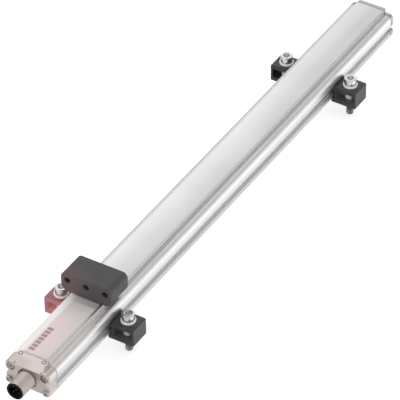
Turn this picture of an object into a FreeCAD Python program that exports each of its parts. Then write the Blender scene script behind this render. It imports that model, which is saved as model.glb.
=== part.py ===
import FreeCAD, Part
import math
import os

# Magnetostrictive linear position sensor in a flat extruded housing, millimetres.
# X runs from the connector end to the far end, +Y is the left side seen that way, Z is up.
# The origin is the centre of the four fixing screws, on the plane that the clamps stand on.

V = FreeCAD.Vector
ALONG = V(1, 0, 0)
UP = V(0, 0, 1)
SAME_POINT = 1e-6       # two points nearer than this are one

# Clearances
RUNNING_GAP = 0.3       # between a clamp and the housing it slides on
PIN_CLEARANCE = 0.05    # radial, round fixed pins, lights and screws
BOLT_CLEARANCE = 0.1    # radial, fixing screw in its bush

# Housing profile, heights stacked from the underside up
HOUSING_LENGTH = 421.3
HOUSING_SHIFT = 2.3     # the housing's middle beyond the screws' centre, as pictured
STANDOFF = 3.5          # underside above the mounting plane
HALF_WIDTH = 16.1
RIB_HEIGHT = 5.1
RIB_RADIUS = 1.4
GROOVE_HEIGHT = 3.7
GROOVE_DEPTH = 3.4
GROOVE_LIP_RADIUS = 0.5
RIB_LIP_RADIUS = 2.0        # round upper edge of the rib
GROOVE_FLOOR_RADIUS = 0.4
FLANK_HEIGHT = 8.8
FLANK_BULGE = 0.5
FLANK_RADIUS = 10.0
SHOULDER_RADIUS = 3.4
DECK_HALF_WIDTH = 10.9
DECK_HEIGHT = 3.2
DECK_RADIUS = 0.9
DECK_ROOT_RADIUS = 0.5

UNDERSIDE_Z = STANDOFF
GROOVE_LOW_Z = UNDERSIDE_Z + RIB_HEIGHT
GROOVE_HIGH_Z = GROOVE_LOW_Z + GROOVE_HEIGHT
SHOULDER_Z = GROOVE_HIGH_Z + FLANK_HEIGHT
DECK_Z = SHOULDER_Z + DECK_HEIGHT
GROOVE_FLOOR_Y = HALF_WIDTH - GROOVE_DEPTH
HOUSING_NEAR_X = HOUSING_SHIFT - HOUSING_LENGTH / 2
HOUSING_FAR_X = HOUSING_SHIFT + HOUSING_LENGTH / 2

# Inside of the profile
WALL = 2.5
CAVITY_RADIUS = 0.8
SLOT_DEPTH = 0.9
SLOT_FLOOR_Z = 9.0
BOARD_THICKNESS = 1.6
SLOT_CLEARANCE = 0.2

# Channels that take the cap screws, from the profile's centre line
CHANNEL_RADIUS = 1.25
UPPER_CHANNEL_Y = 12.3
UPPER_CHANNEL_DROP = 4.3   # below the shoulder
LOWER_CHANNEL_Y = 13.7

# Gaskets and caps
GASKET_THICKNESS = 0.8
GASKET_INSET = 0.35
CAP_THICKNESS = 7.8
FAR_CAP_THICKNESS = 3.2
FAR_DECK_RADIUS = 3.0      # round corners of the far cap's raised deck, seen from above
CAP_CHAMFER = 0.5
NOTCH_FLOOR_Y = 14.2       # notch in the connector end cap's flank, over its closed lower part
NOTCH_Z = 13.7             # height of the notch's roof at its floor
NOTCH_FLOOR_HEIGHT = 1.0
NOTCH_FLARE = 1.2          # rise of the roof and half the fall of the underside, at the flank
SLOPE_LAND = 3.3           # flat land on the cap, beside the housing, that holds the lights
SLOPE_DROP = 4.7           # fall of the slope from the deck to the front face
SLOPE_HALF_WIDTH = 9.3     # half width of the slope between the screw bosses
CAP_SCREW_HEAD_RADIUS = 2.2
CAP_SCREW_HEAD_HEIGHT = 1.6
CAP_SCREW_HEAD_DOME = 0.5
CAP_SCREW_SHANK_RADIUS = 1.2
CAP_SCREW_GRIP = 7.5       # length inside the housing's channel, with the head on the cap's face
CAP_SCREW_DRIVE = 1.3      # drive recess, centre to corner
CAP_SCREW_DRIVE_DEPTH = 1.0
CAP_HOLE_RADIUS = 1.5
CAP_SEAT_RADIUS = 2.9       # counterbore of the connector end cap's upper screws
CAP_SEAT_DEPTH = 1.8

# Status lights in the cap's flat land
LIGHT_RADIUS = 1.05
LIGHT_Y = 8.6
LIGHT_DOME = 0.35
LIGHT_DEPTH = 3.6
LIGHT_DISH_RADIUS = 1.6    # shallow dish round a light
LIGHT_DISH_DEPTH = 0.35

# Connector with an M12 thread
CONNECTOR_Z = 12.3
CONNECTOR_REACH = 14.4     # shell and rim in front of the cap
THREAD_RADIUS = 6.0
SHELL_BORE = 5.2
SHELL_CHAMFER = 0.4
SHELL_NECK_RADIUS = 5.5    # runout groove behind the thread
SHELL_NECK_LENGTH = 2.0
SHELL_COLLAR_RADIUS = 6.5
SHELL_COLLAR_SETBACK = 1.4  # collar's face behind the cap's front
SHELL_FLANGE_RADIUS = 7.5
SHELL_FLANGE_THICKNESS = 1.2
CAP_RECESS_RADIUS = 7.1
CAP_RECESS_DEPTH = 1.8
SEAL_THICKNESS = 0.4
INSERT_RIM_RADIUS = 5.8
INSERT_RIM_THICKNESS = 0.7
INSERT_CUP_RADIUS = 4.5
INSERT_CUP_DEPTH = 8.5
INSERT_TAIL = 2.5          # insert behind the housing's end face
KEY_WIDTH = 1.2
KEY_HEIGHT = 0.7
PIN_RADIUS = 0.5
PIN_CIRCLE_RADIUS = 2.65
PIN_TIP_DEPTH = 1.5
PIN_TAIL = 1.2

# Nameplate on the deck
PLATE_MARGIN = 0.7         # from the housing's end
PLATE_LENGTH = 60.0
PLATE_HALF_WIDTH = 9.0
PLATE_THICKNESS = 0.25
PLATE_CORNER = 1.0

# Position magnet that floats over the deck
MAGNET_GAP = 0.9
MAGNET_SETBACK = 59.8      # from the housing's end, as pictured
MAGNET_OFFSET_Y = 0.9      # to the left of the housing's middle, as pictured
MAGNET_LENGTH = 20.0
MAGNET_HALF_WIDTH = 18.6
MAGNET_HEIGHT = 14.5
MAGNET_TOP_RADIUS = 3.8
MAGNET_BOTTOM_RADIUS = 5.2
MAGNET_EDGE = 0.5
MAGNET_HOLE_RADIUS = 2.15
MAGNET_HOLE_PITCH = 13.9
MAGNET_HOLE_BELOW_TOP = 5.5
MAGNET_HOLE_CHAMFER = 0.35
POCKET_HALF_WIDTH = 12.6
POCKET_LENGTH = 12.0
POCKET_DEPTH = 4.0
POCKET_CORNER = 1.0
BAR_COUNT = 3
BAR_WIDTH = 6.6
BAR_LENGTH = 9.0
BAR_HEIGHT = 2.4

# Clamps, their bushes and screws
CLAMP_INSET = 67.6         # near screw line to the housing's near end
SCREW_SPACING_Y = 50.0
CLAMP_LENGTH = 15.2
CLAMP_HEIGHT = 12.9
CLAMP_OUTER_Y = 33.3
CLAMP_EDGE_RADIUS = 0.9
CLAMP_END_RADIUS = 0.4      # soft edges round the two ends, where they are outside
FOOT_REACH = 1.6           # how far the foot reaches under the rib
NOSE_TIP_GAP = 0.5         # nose to the floor of the groove
POCKET_FLOOR = 3.3         # clamp: wall under the side pocket
POCKET_ROOF = 2.7          # clamp: wall over the side pocket
POCKET_SIDE = 1.6          # clamp: outer wall beside the pocket
POCKET_INNER = 1.4         # clamp: inner wall beside the pocket
WEB_THICKNESS = 5.0        # clamp: web left between the two pockets
POCKET_RADIUS = 0.8
BUSH_RADIUS = 3.4
BUSH_FLANGE_RADIUS = 5.0
BUSH_FLANGE_THICKNESS = 1.4
BUSH_FOOT_GAP = 0.4
SCREW_RADIUS = 2.5
SHANK_RADIUS = 2.4         # plain shank inside the clamp
SCREW_LENGTH = 25.0
HEAD_RADIUS = 4.25
HEAD_HEIGHT = 5.0
HEAD_CHAMFER = 0.35
SOCKET_ACROSS_FLATS = 4.0
SOCKET_DEPTH = 2.5
TIP_CHAMFER = 0.6

# Electronics board and the sensing element
BOARD_SETBACK = 7.0        # from the housing's end
BOARD_LENGTH = 62.0
LEAD_RADIUS = 0.45
LEAD_STRAIGHT = 0.9
LEAD_PAD_LENGTH = 3.0
LEAD_PAD_PITCH = 3.0
BOBBIN_SHARE = 0.57        # the coil's middle along the board, as a share of its length
BOBBIN_LENGTH = 12.0
BOBBIN_HALF_SIDE = 4.2
BOBBIN_PLATE = 1.0
BOBBIN_HUB_RADIUS = 1.2
BOBBIN_BORE = 0.6
WINDING_RADIUS = 3.7
ANCHOR_GAP = 4.0           # between anchor and bobbin
ANCHOR_LENGTH = 4.0
ANCHOR_HALF_WIDTH = 2.2
ANCHOR_COVER = 1.8
WIRE_RADIUS = 0.3
WIRE_END_OVERHANG = 1.2
SLEEVE_RADIUS = 1.5
SLEEVE_BORE = 0.7
SLEEVE_NEAR_GAP = 1.0
DAMPER_LENGTH = 20.0
DAMPER_TAPER = 0.5
CARRIER_GAP = 1.5          # between board and carrier
TROUGH_HALF_WIDTH = 1.8
TROUGH_WALL = 1.3
TROUGH_RIM = 0.8           # wall top above the wire
RETURN_RADIUS = 0.4
RETURN_Y = 5.2
CLIP_THICKNESS = 1.2
CLIP_EDGE = 1.4
CARRIER_END_GAP = 9.0      # from the housing's far end

# Places worked out from the sizes above
GASKET_FRONT_X = HOUSING_NEAR_X - GASKET_THICKNESS
CAP_FRONT_X = GASKET_FRONT_X - CAP_THICKNESS
FAR_CAP_X = HOUSING_FAR_X + GASKET_THICKNESS
CONNECTOR_FACE_X = CAP_FRONT_X - CONNECTOR_REACH
CAVITY_HALF_WIDTH = GROOVE_FLOOR_Y - WALL
BOARD_HALF_WIDTH = CAVITY_HALF_WIDTH + SLOT_DEPTH - SLOT_CLEARANCE
BOARD_TOP_Z = SLOT_FLOOR_Z + BOARD_THICKNESS
BOARD_NEAR_X = HOUSING_NEAR_X + BOARD_SETBACK
BOARD_FAR_X = BOARD_NEAR_X + BOARD_LENGTH
BOBBIN_X = BOARD_NEAR_X + BOARD_LENGTH * BOBBIN_SHARE
ANCHOR_X = BOBBIN_X - BOBBIN_LENGTH / 2 - ANCHOR_GAP - ANCHOR_LENGTH
CARRIER_NEAR_X = BOARD_FAR_X + CARRIER_GAP
CARRIER_FAR_X = HOUSING_FAR_X - CARRIER_END_GAP
WIRE_Z = BOARD_TOP_Z + BOBBIN_HALF_SIDE
MAGNET_FRONT_X = HOUSING_NEAR_X + MAGNET_SETBACK
MAGNET_BOTTOM_Z = DECK_Z + MAGNET_GAP
MAGNET_HOLE_Z = MAGNET_BOTTOM_Z + MAGNET_HEIGHT - MAGNET_HOLE_BELOW_TOP
CLAMP_X = -HOUSING_NEAR_X - CLAMP_INSET
SCREW_Y = SCREW_SPACING_Y / 2
THROAT_Y = HALF_WIDTH + FLANK_BULGE + RUNNING_GAP
CHANNELS = [
    (side * y, z)
    for side in (-1, 1)
    for y, z in (
        (UPPER_CHANNEL_Y, SHOULDER_Z - UPPER_CHANNEL_DROP),
        (LOWER_CHANNEL_Y, UNDERSIDE_Z + RIB_HEIGHT / 2),
    )
]


def unit(a, b):
    """Direction in the drawing plane from point a to point b, and their distance."""
    length = math.hypot(b[0] - a[0], b[1] - a[1])
    return ((b[0] - a[0]) / length, (b[1] - a[1]) / length), length


def rounded_wire(corners, place):
    """Closed wire through corners (a, b, radius), each radius a tangent arc.

    place turns the two drawing coordinates into a point in space.
    """
    edges = []
    spans = []
    for i, (a, b, radius) in enumerate(corners):
        to_last, _ = unit((a, b), corners[i - 1])
        to_next, _ = unit((a, b), corners[(i + 1) % len(corners)])
        if radius <= 0:
            spans.append(((a, b), None, (a, b)))
            continue
        cosine = to_last[0] * to_next[0] + to_last[1] * to_next[1]
        half = math.acos(max(-1.0, min(1.0, cosine))) / 2
        cut = radius / math.tan(half)
        middle, _ = unit((0, 0), (to_last[0] + to_next[0], to_last[1] + to_next[1]))
        reach = radius / math.sin(half) - radius
        start = (a + to_last[0] * cut, b + to_last[1] * cut)
        crown = (a + middle[0] * reach, b + middle[1] * reach)
        end = (a + to_next[0] * cut, b + to_next[1] * cut)
        spans.append((start, crown, end))
    for i, (start, crown, end) in enumerate(spans):
        if crown is not None:
            edges.append(Part.Arc(place(*start), place(*crown), place(*end)).toShape())
        following = spans[(i + 1) % len(spans)][0]
        if math.hypot(following[0] - end[0], following[1] - end[1]) > SAME_POINT:
            edges.append(Part.LineSegment(place(*end), place(*following)).toShape())
    return Part.Wire(edges)


def prism_x(corners, near_x, far_x):
    """Solid with a rounded (y, z) outline between two stations along X."""
    face = Part.Face(rounded_wire(corners, lambda y, z: V(near_x, y, z)))
    return face.extrude(V(far_x - near_x, 0, 0))


def prism_y(corners, low_y, high_y):
    """Solid with a rounded (x, z) outline between two stations along Y."""
    face = Part.Face(rounded_wire(corners, lambda x, z: V(x, low_y, z)))
    return face.extrude(V(0, high_y - low_y, 0))


def prism_z(corners, low_z, high_z):
    """Solid with a rounded (x, y) outline between two heights."""
    face = Part.Face(rounded_wire(corners, lambda x, y: V(x, y, low_z)))
    return face.extrude(V(0, 0, high_z - low_z))


def rectangle(low_a, high_a, low_b, high_b, radius=0.0):
    """Corners of a rectangle with one radius."""
    return [(a, b, radius) for a, b in ((low_a, low_b), (high_a, low_b), (high_a, high_b), (low_a, high_b))]


def mirrored(right_half):
    """Whole outline from its right half, listed from the bottom up."""
    return right_half + [(-y, z, radius) for y, z, radius in reversed(right_half)]


def rod_x(radius, near_x, far_x, y=0.0, z=0.0):
    """Round rod along X."""
    return Part.makeCylinder(radius, far_x - near_x, V(near_x, y, z), ALONG)


def revolved_x(profile, y, z):
    """Solid turned round an axis along X from (x, radius) points."""
    points = [V(x, y, z + radius) for x, radius in profile]
    face = Part.Face(Part.makePolygon(points + [points[0]]))
    return face.revolve(V(0, y, z), ALONG, 360)


def revolved_z(profile, x, y):
    """Solid turned round a vertical axis from (radius, z) points."""
    points = [V(x + radius, y, z) for radius, z in profile]
    face = Part.Face(Part.makePolygon(points + [points[0]]))
    return face.revolve(V(x, y, 0), UP, 360)


def body_section(inset=0.0, grooved=True):
    """Outline of the housing: lower rib, side groove, round shoulder, raised deck."""
    side = HALF_WIDTH - inset
    floor = GROOVE_FLOOR_Y - inset
    low = GROOVE_LOW_Z - inset
    high = GROOVE_HIGH_Z + inset
    shoulder = SHOULDER_Z - inset
    deck_y = DECK_HALF_WIDTH - inset
    groove = [
        (side, low, RIB_LIP_RADIUS),
        (floor, low, GROOVE_FLOOR_RADIUS),
        (floor, high, GROOVE_FLOOR_RADIUS),
    ]
    return mirrored([(side, UNDERSIDE_Z + inset, RIB_RADIUS)] + (groove if grooved else []) + [
        (side, high, GROOVE_LIP_RADIUS),
        (side + FLANK_BULGE, (high + shoulder - SHOULDER_RADIUS) / 2, FLANK_RADIUS),
        (side, shoulder, SHOULDER_RADIUS),
        (deck_y, shoulder, DECK_ROOT_RADIUS),
        (deck_y, DECK_Z - inset, DECK_RADIUS),
    ])


def cavity_section():
    """Stepped hollow of the profile, without the board slots."""
    top_y = DECK_HALF_WIDTH - WALL
    return mirrored([
        (CAVITY_HALF_WIDTH, UNDERSIDE_Z + WALL, CAVITY_RADIUS),
        (CAVITY_HALF_WIDTH, SHOULDER_Z - WALL, CAVITY_RADIUS),
        (top_y, SHOULDER_Z - WALL, 0),
        (top_y, DECK_Z - WALL, CAVITY_RADIUS),
    ])


def drilled(solid, radius, centres, near_x, far_x):
    """Solid with round holes along X at (y, z) centres."""
    holes = [rod_x(radius, near_x, far_x, y, z) for y, z in centres]
    return solid.cut(holes)


def profile_housing():
    solid = prism_x(body_section(), HOUSING_NEAR_X, HOUSING_FAR_X)
    hollow = prism_x(cavity_section(), HOUSING_NEAR_X, HOUSING_FAR_X)
    slot_y = CAVITY_HALF_WIDTH + SLOT_DEPTH
    slot_top = BOARD_TOP_Z + SLOT_CLEARANCE
    slots = prism_x(rectangle(-slot_y, slot_y, SLOT_FLOOR_Z, slot_top), HOUSING_NEAR_X, HOUSING_FAR_X)
    solid = solid.cut([hollow, slots])
    return drilled(solid, CHANNEL_RADIUS, CHANNELS, HOUSING_NEAR_X, HOUSING_FAR_X)


def gasket(near_x):
    """Flat rubber gasket between the profile and a cap."""
    far_x = near_x + GASKET_THICKNESS
    solid = prism_x(body_section(GASKET_INSET), near_x, far_x)
    solid = solid.cut(prism_x(cavity_section(), near_x, far_x))
    return drilled(solid, CAP_HOLE_RADIUS, CHANNELS, near_x, far_x)


def section_wire(inset, grooved, x):
    return rounded_wire(body_section(inset, grooved), lambda y, z: V(x, y, z))


def cap_blank(inner_x, outer_x, grooved):
    """Cap body between its joint and its outer face, whose rim is bevelled."""
    outward = math.copysign(1, outer_x - inner_x)
    bevel_x = outer_x - outward * CAP_CHAMFER
    rims = [section_wire(0, grooved, bevel_x), section_wire(CAP_CHAMFER, grooved, outer_x)]
    return prism_x(body_section(0, grooved), inner_x, bevel_x).fuse(Part.makeLoft(rims, True, True))


def notch_cutters():
    """Flared notch along each flank of the connector end cap, above its closed lower part."""
    outer_y = HALF_WIDTH + 2 * FLANK_BULGE
    floor_z = NOTCH_Z - NOTCH_FLOOR_HEIGHT
    outline = [
        (NOTCH_FLOOR_Y, floor_z, 0.3),
        (HALF_WIDTH, floor_z - 2 * NOTCH_FLARE, 1.5),
        (outer_y, GROOVE_LOW_Z, 0),
        (outer_y, NOTCH_Z + NOTCH_FLARE, 0),
        (HALF_WIDTH, NOTCH_Z + NOTCH_FLARE / 2, 0.5),
        (NOTCH_FLOOR_Y, NOTCH_Z, 0.3),
    ]
    return [
        prism_x([(side * y, z, radius) for y, z, radius in outline], CAP_FRONT_X, GASKET_FRONT_X)
        for side in (-1, 1)
    ]


def slope_line():
    """Ends of the cap's slope in the (x, z) plane, top end first."""
    return (GASKET_FRONT_X - SLOPE_LAND, DECK_Z), (CAP_FRONT_X, DECK_Z - SLOPE_DROP)


def slope_cutter():
    """What the slope removes: all the deck, and the shoulder between the screw bosses."""
    (top_x, top_z), (foot_x, foot_z) = slope_line()
    out_x = CAP_FRONT_X - CAP_CHAMFER
    run = (top_z - foot_z) / (top_x - foot_x)
    out_z = foot_z - run * (foot_x - out_x)
    shoulder_x = top_x - (top_z - SHOULDER_Z) / run
    over = DECK_Z + CAP_CHAMFER
    middle = [(top_x, over, 0), (top_x, top_z, 0), (out_x, out_z, 0), (out_x, over, 0)]
    sides = [
        (top_x, over, 0),
        (top_x, top_z, 0),
        (shoulder_x, SHOULDER_Z, 0),
        (out_x, SHOULDER_Z, 0),
        (out_x, over, 0),
    ]
    return [
        prism_y(middle, -SLOPE_HALF_WIDTH, SLOPE_HALF_WIDTH),
        prism_y(sides, -HALF_WIDTH, HALF_WIDTH),
    ]


def light_rod(side, radius, low_z, high_z):
    """Upright rod at one status light."""
    x = GASKET_FRONT_X - SLOPE_LAND / 2
    return Part.makeCylinder(radius, high_z - low_z, V(x, side * LIGHT_Y, low_z), UP)


def sunk(z):
    """Whether the screw at height z sits in a counterbore of the connector end cap."""
    return z > GROOVE_HIGH_Z


def connector_end_cap():
    solid = cap_blank(GASKET_FRONT_X, CAP_FRONT_X, False)
    pocket_x = GASKET_FRONT_X - SHELL_FLANGE_THICKNESS - SEAL_THICKNESS
    bore = rod_x(SHELL_COLLAR_RADIUS + PIN_CLEARANCE, CAP_FRONT_X, GASKET_FRONT_X, 0, CONNECTOR_Z)
    recess = rod_x(CAP_RECESS_RADIUS, CAP_FRONT_X, CAP_FRONT_X + CAP_RECESS_DEPTH, 0, CONNECTOR_Z)
    pocket = rod_x(SHELL_FLANGE_RADIUS + PIN_CLEARANCE, pocket_x, GASKET_FRONT_X, 0, CONNECTOR_Z)
    lights = [
        light_rod(side, LIGHT_RADIUS + PIN_CLEARANCE, DECK_Z - LIGHT_DEPTH, DECK_Z) for side in (-1, 1)
    ]
    dishes = [
        light_rod(side, LIGHT_DISH_RADIUS, DECK_Z - LIGHT_DISH_DEPTH, DECK_Z) for side in (-1, 1)
    ]
    seats = [
        rod_x(CAP_SEAT_RADIUS, CAP_FRONT_X, CAP_FRONT_X + CAP_SEAT_DEPTH, y, z)
        for y, z in CHANNELS if sunk(z)
    ]
    solid = solid.cut(slope_cutter() + notch_cutters() + [bore, recess, pocket] + lights + dishes + seats)
    return drilled(solid, CAP_HOLE_RADIUS, CHANNELS, CAP_FRONT_X, GASKET_FRONT_X)


def far_end_cap():
    outer_x = FAR_CAP_X + FAR_CAP_THICKNESS
    over_z = DECK_Z + CAP_CHAMFER
    corners = prism_z(
        rectangle(FAR_CAP_X, outer_x + CAP_CHAMFER, -HALF_WIDTH, HALF_WIDTH), SHOULDER_Z, over_z)
    rounded_deck = prism_z(
        rectangle(HOUSING_NEAR_X, outer_x, -DECK_HALF_WIDTH, DECK_HALF_WIDTH, FAR_DECK_RADIUS),
        SHOULDER_Z, over_z)
    solid = cap_blank(FAR_CAP_X, outer_x, True).cut(corners.cut(rounded_deck))
    return drilled(solid, CAP_HOLE_RADIUS, CHANNELS, FAR_CAP_X, outer_x)


def cap_screw(face_x, outward, thickness, y, z):
    """Domed screw for a cap of this thickness: head on face_x, shank through to the channel."""
    head = CAP_SCREW_HEAD_RADIUS
    crown = face_x + outward * CAP_SCREW_HEAD_HEIGHT
    edge = face_x + outward * (CAP_SCREW_HEAD_HEIGHT - CAP_SCREW_HEAD_DOME)
    tip = face_x - outward * (thickness + GASKET_THICKNESS + CAP_SCREW_GRIP)
    shank = CAP_SCREW_SHANK_RADIUS
    solid = revolved_x(
        [(crown, 0), (crown, head * 0.6), (edge, head), (face_x, head), (face_x, shank),
         (tip + outward * shank, shank), (tip, shank / 2), (tip, 0)], y, z)
    floor = V(crown - outward * CAP_SCREW_DRIVE_DEPTH, y, z)
    return solid.cut(hexagon(floor, CAP_SCREW_DRIVE, V(outward * CAP_SCREW_DRIVE_DEPTH, 0, 0)))


def hexagon(base, radius, depth):
    """Six-sided prism from base along the vector depth; radius is to its corners."""
    first = V(0, radius, 0)
    second = depth.cross(first).normalize() * radius
    points = [
        base + first * math.cos(math.radians(60 * k)) + second * math.sin(math.radians(60 * k))
        for k in range(6)
    ]
    return Part.Face(Part.makePolygon(points + [points[0]])).extrude(depth)


def status_lights():
    """Two round lights, each with a low dome above the deck."""
    sphere_radius = (LIGHT_RADIUS ** 2 + LIGHT_DOME ** 2) / (2 * LIGHT_DOME)
    lights = []
    for side in (-1, 1):
        body = light_rod(side, LIGHT_RADIUS, DECK_Z - LIGHT_DEPTH, DECK_Z)
        above = light_rod(side, LIGHT_RADIUS, DECK_Z, DECK_Z + LIGHT_RADIUS)
        centre = V(GASKET_FRONT_X - SLOPE_LAND / 2, side * LIGHT_Y, DECK_Z + LIGHT_DOME - sphere_radius)
        dome = Part.makeSphere(sphere_radius, centre).common(above)
        lights.append(body.fuse(dome).removeSplitter())
    return Part.makeCompound(lights)


def connector_shell():
    """Threaded sleeve with a runout groove, a collar in the cap and a flange behind its wall."""
    front = CONNECTOR_FACE_X + INSERT_RIM_THICKNESS
    collar_x = CAP_FRONT_X + SHELL_COLLAR_SETBACK
    neck_x = collar_x - SHELL_NECK_LENGTH
    flange_x = GASKET_FRONT_X - SHELL_FLANGE_THICKNESS
    return revolved_x([
        (front, SHELL_BORE),
        (front, THREAD_RADIUS - SHELL_CHAMFER),
        (front + SHELL_CHAMFER, THREAD_RADIUS),
        (neck_x, THREAD_RADIUS),
        (neck_x, SHELL_NECK_RADIUS),
        (collar_x, SHELL_NECK_RADIUS),
        (collar_x, SHELL_COLLAR_RADIUS),
        (flange_x, SHELL_COLLAR_RADIUS),
        (flange_x, SHELL_FLANGE_RADIUS),
        (GASKET_FRONT_X, SHELL_FLANGE_RADIUS),
        (GASKET_FRONT_X, SHELL_BORE),
    ], 0, CONNECTOR_Z)


def connector_seal():
    near_x = GASKET_FRONT_X - SHELL_FLANGE_THICKNESS - SEAL_THICKNESS
    ring = rod_x(SHELL_FLANGE_RADIUS, near_x, near_x + SEAL_THICKNESS, 0, CONNECTOR_Z)
    hole = rod_x(SHELL_COLLAR_RADIUS + PIN_CLEARANCE, near_x, near_x + SEAL_THICKNESS, 0, CONNECTOR_Z)
    return ring.cut(hole)


def pin_places():
    """(y, z) of the contact pins: one in the middle, four on a circle."""
    reach = PIN_CIRCLE_RADIUS / math.sqrt(2)
    around = [(sy * reach, CONNECTOR_Z + sz * reach) for sy in (-1, 1) for sz in (-1, 1)]
    return around + [(0.0, CONNECTOR_Z)]


def connector_insert():
    """Contact carrier: a cup with a key, a rim over the shell's end and a tail in the housing."""
    floor_x = CONNECTOR_FACE_X + INSERT_CUP_DEPTH
    tail_x = HOUSING_NEAR_X + INSERT_TAIL
    rim_x = CONNECTOR_FACE_X + INSERT_RIM_THICKNESS
    solid = revolved_x([
        (CONNECTOR_FACE_X, INSERT_CUP_RADIUS),
        (CONNECTOR_FACE_X, INSERT_RIM_RADIUS),
        (rim_x, INSERT_RIM_RADIUS),
        (rim_x, SHELL_BORE),
        (tail_x, SHELL_BORE),
        (tail_x, 0),
        (floor_x, 0),
        (floor_x, INSERT_CUP_RADIUS),
    ], 0, CONNECTOR_Z)
    key_z = CONNECTOR_Z + INSERT_CUP_RADIUS - KEY_HEIGHT
    key = prism_x(
        rectangle(-KEY_WIDTH / 2, KEY_WIDTH / 2, key_z, CONNECTOR_Z + SHELL_BORE - PIN_CLEARANCE),
        rim_x, floor_x)
    return drilled(solid.fuse(key), PIN_RADIUS, pin_places(), floor_x, tail_x)


def connector_pins():
    near_x = CONNECTOR_FACE_X + PIN_TIP_DEPTH
    far_x = HOUSING_NEAR_X + INSERT_TAIL + PIN_TAIL
    round_tip = PIN_RADIUS / 2
    pins = [
        revolved_x([
            (near_x, 0), (near_x, PIN_RADIUS - round_tip), (near_x + round_tip, PIN_RADIUS),
            (far_x, PIN_RADIUS), (far_x, 0)], y, z)
        for y, z in pin_places()
    ]
    return Part.makeCompound(pins)


def bent_lead(points):
    """Round lead through points: straight runs with a ball at each bend."""
    solid = None
    for start, end in zip(points, points[1:]):
        run = Part.makeCylinder(LEAD_RADIUS, (end - start).Length, start, end - start)
        solid = run if solid is None else solid.fuse([run, Part.makeSphere(LEAD_RADIUS, start)])
    return solid.removeSplitter()


def connector_leads():
    """Five leads from the pins' tails down to pads on the board."""
    tail_x = HOUSING_NEAR_X + INSERT_TAIL + PIN_TAIL
    pad_z = BOARD_TOP_Z + LEAD_RADIUS
    leads = []
    for y, z in pin_places():
        spread = 0 if y == 0 else (1 if z < CONNECTOR_Z else 2)
        pad_y = math.copysign(spread * LEAD_PAD_PITCH, y)
        leads.append(bent_lead([
            V(tail_x, y, z),
            V(tail_x + LEAD_STRAIGHT, y, z),
            V(BOARD_NEAR_X, pad_y, pad_z),
            V(BOARD_NEAR_X + LEAD_PAD_LENGTH, pad_y, pad_z),
        ]))
    return Part.makeCompound(leads)


def nameplate():
    near_x = HOUSING_NEAR_X + PLATE_MARGIN
    outline = rectangle(near_x, near_x + PLATE_LENGTH, -PLATE_HALF_WIDTH, PLATE_HALF_WIDTH, PLATE_CORNER)
    return prism_z(outline, DECK_Z, DECK_Z + PLATE_THICKNESS)


def circuit_board():
    outline = rectangle(BOARD_NEAR_X, BOARD_FAR_X, -BOARD_HALF_WIDTH, BOARD_HALF_WIDTH)
    return prism_z(outline, SLOT_FLOOR_Z, BOARD_TOP_Z)


def board_components():
    """Chips and capacitors on the board.

    x and length are shares of the board's length, y and width of its half width, and
    height of its thickness, so that they keep their places when the board changes.
    """
    chips = [
        (0.19, -0.42, 0.145, 0.64, 0.9),
        (0.20, 0.44, 0.113, 0.46, 1.1),
        (0.76, -0.66, 0.097, 0.42, 0.9),
        (0.85, 0.50, 0.100, 0.52, 1.4),
    ]
    cans = [(0.32, -0.66), (0.32, 0.66), (0.62, 0.68)]
    can_radius = BOARD_HALF_WIDTH * 0.18
    can_height = BOARD_THICKNESS * 3
    parts = []
    for x, y, length, width, height in chips:
        middle_x = BOARD_NEAR_X + x * BOARD_LENGTH
        middle_y = y * BOARD_HALF_WIDTH
        half_x = length * BOARD_LENGTH / 2
        half_y = width * BOARD_HALF_WIDTH / 2
        outline = rectangle(
            middle_x - half_x, middle_x + half_x, middle_y - half_y, middle_y + half_y, half_y / 10)
        parts.append(prism_z(outline, BOARD_TOP_Z, BOARD_TOP_Z + height * BOARD_THICKNESS))
    for x, y in cans:
        foot = V(BOARD_NEAR_X + x * BOARD_LENGTH, y * BOARD_HALF_WIDTH, BOARD_TOP_Z)
        parts.append(Part.makeCylinder(can_radius, can_height, foot, UP))
    return Part.makeCompound(parts)


def pickup_bobbin():
    """Coil former on the board: two square plates on a hollow hub round the waveguide."""
    near_x = BOBBIN_X - BOBBIN_LENGTH / 2
    far_x = BOBBIN_X + BOBBIN_LENGTH / 2
    side = rectangle(
        -BOBBIN_HALF_SIDE, BOBBIN_HALF_SIDE, BOARD_TOP_Z, WIRE_Z + BOBBIN_HALF_SIDE, 0.6)
    solid = prism_x(side, near_x, near_x + BOBBIN_PLATE).fuse([
        prism_x(side, far_x - BOBBIN_PLATE, far_x),
        rod_x(BOBBIN_HUB_RADIUS, near_x, far_x, 0, WIRE_Z),
    ])
    return solid.cut(rod_x(BOBBIN_BORE, near_x, far_x, 0, WIRE_Z))


def pickup_winding():
    near_x = BOBBIN_X - BOBBIN_LENGTH / 2 + BOBBIN_PLATE
    far_x = BOBBIN_X + BOBBIN_LENGTH / 2 - BOBBIN_PLATE
    ring = rod_x(WINDING_RADIUS, near_x, far_x, 0, WIRE_Z)
    return ring.cut(rod_x(BOBBIN_HUB_RADIUS, near_x, far_x, 0, WIRE_Z))


def wire_anchor():
    """Metal block on the board that holds the near end of the waveguide wire."""
    block = prism_x(
        rectangle(-ANCHOR_HALF_WIDTH, ANCHOR_HALF_WIDTH, BOARD_TOP_Z, WIRE_Z + ANCHOR_COVER, 0.5),
        ANCHOR_X, ANCHOR_X + ANCHOR_LENGTH)
    return block.cut(rod_x(WIRE_RADIUS, ANCHOR_X, ANCHOR_X + ANCHOR_LENGTH, 0, WIRE_Z))


def waveguide_wire():
    return rod_x(WIRE_RADIUS, ANCHOR_X, CARRIER_FAR_X + CLIP_THICKNESS + WIRE_END_OVERHANG, 0, WIRE_Z)


def damper_near_x():
    return CARRIER_FAR_X - DAMPER_LENGTH


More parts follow.
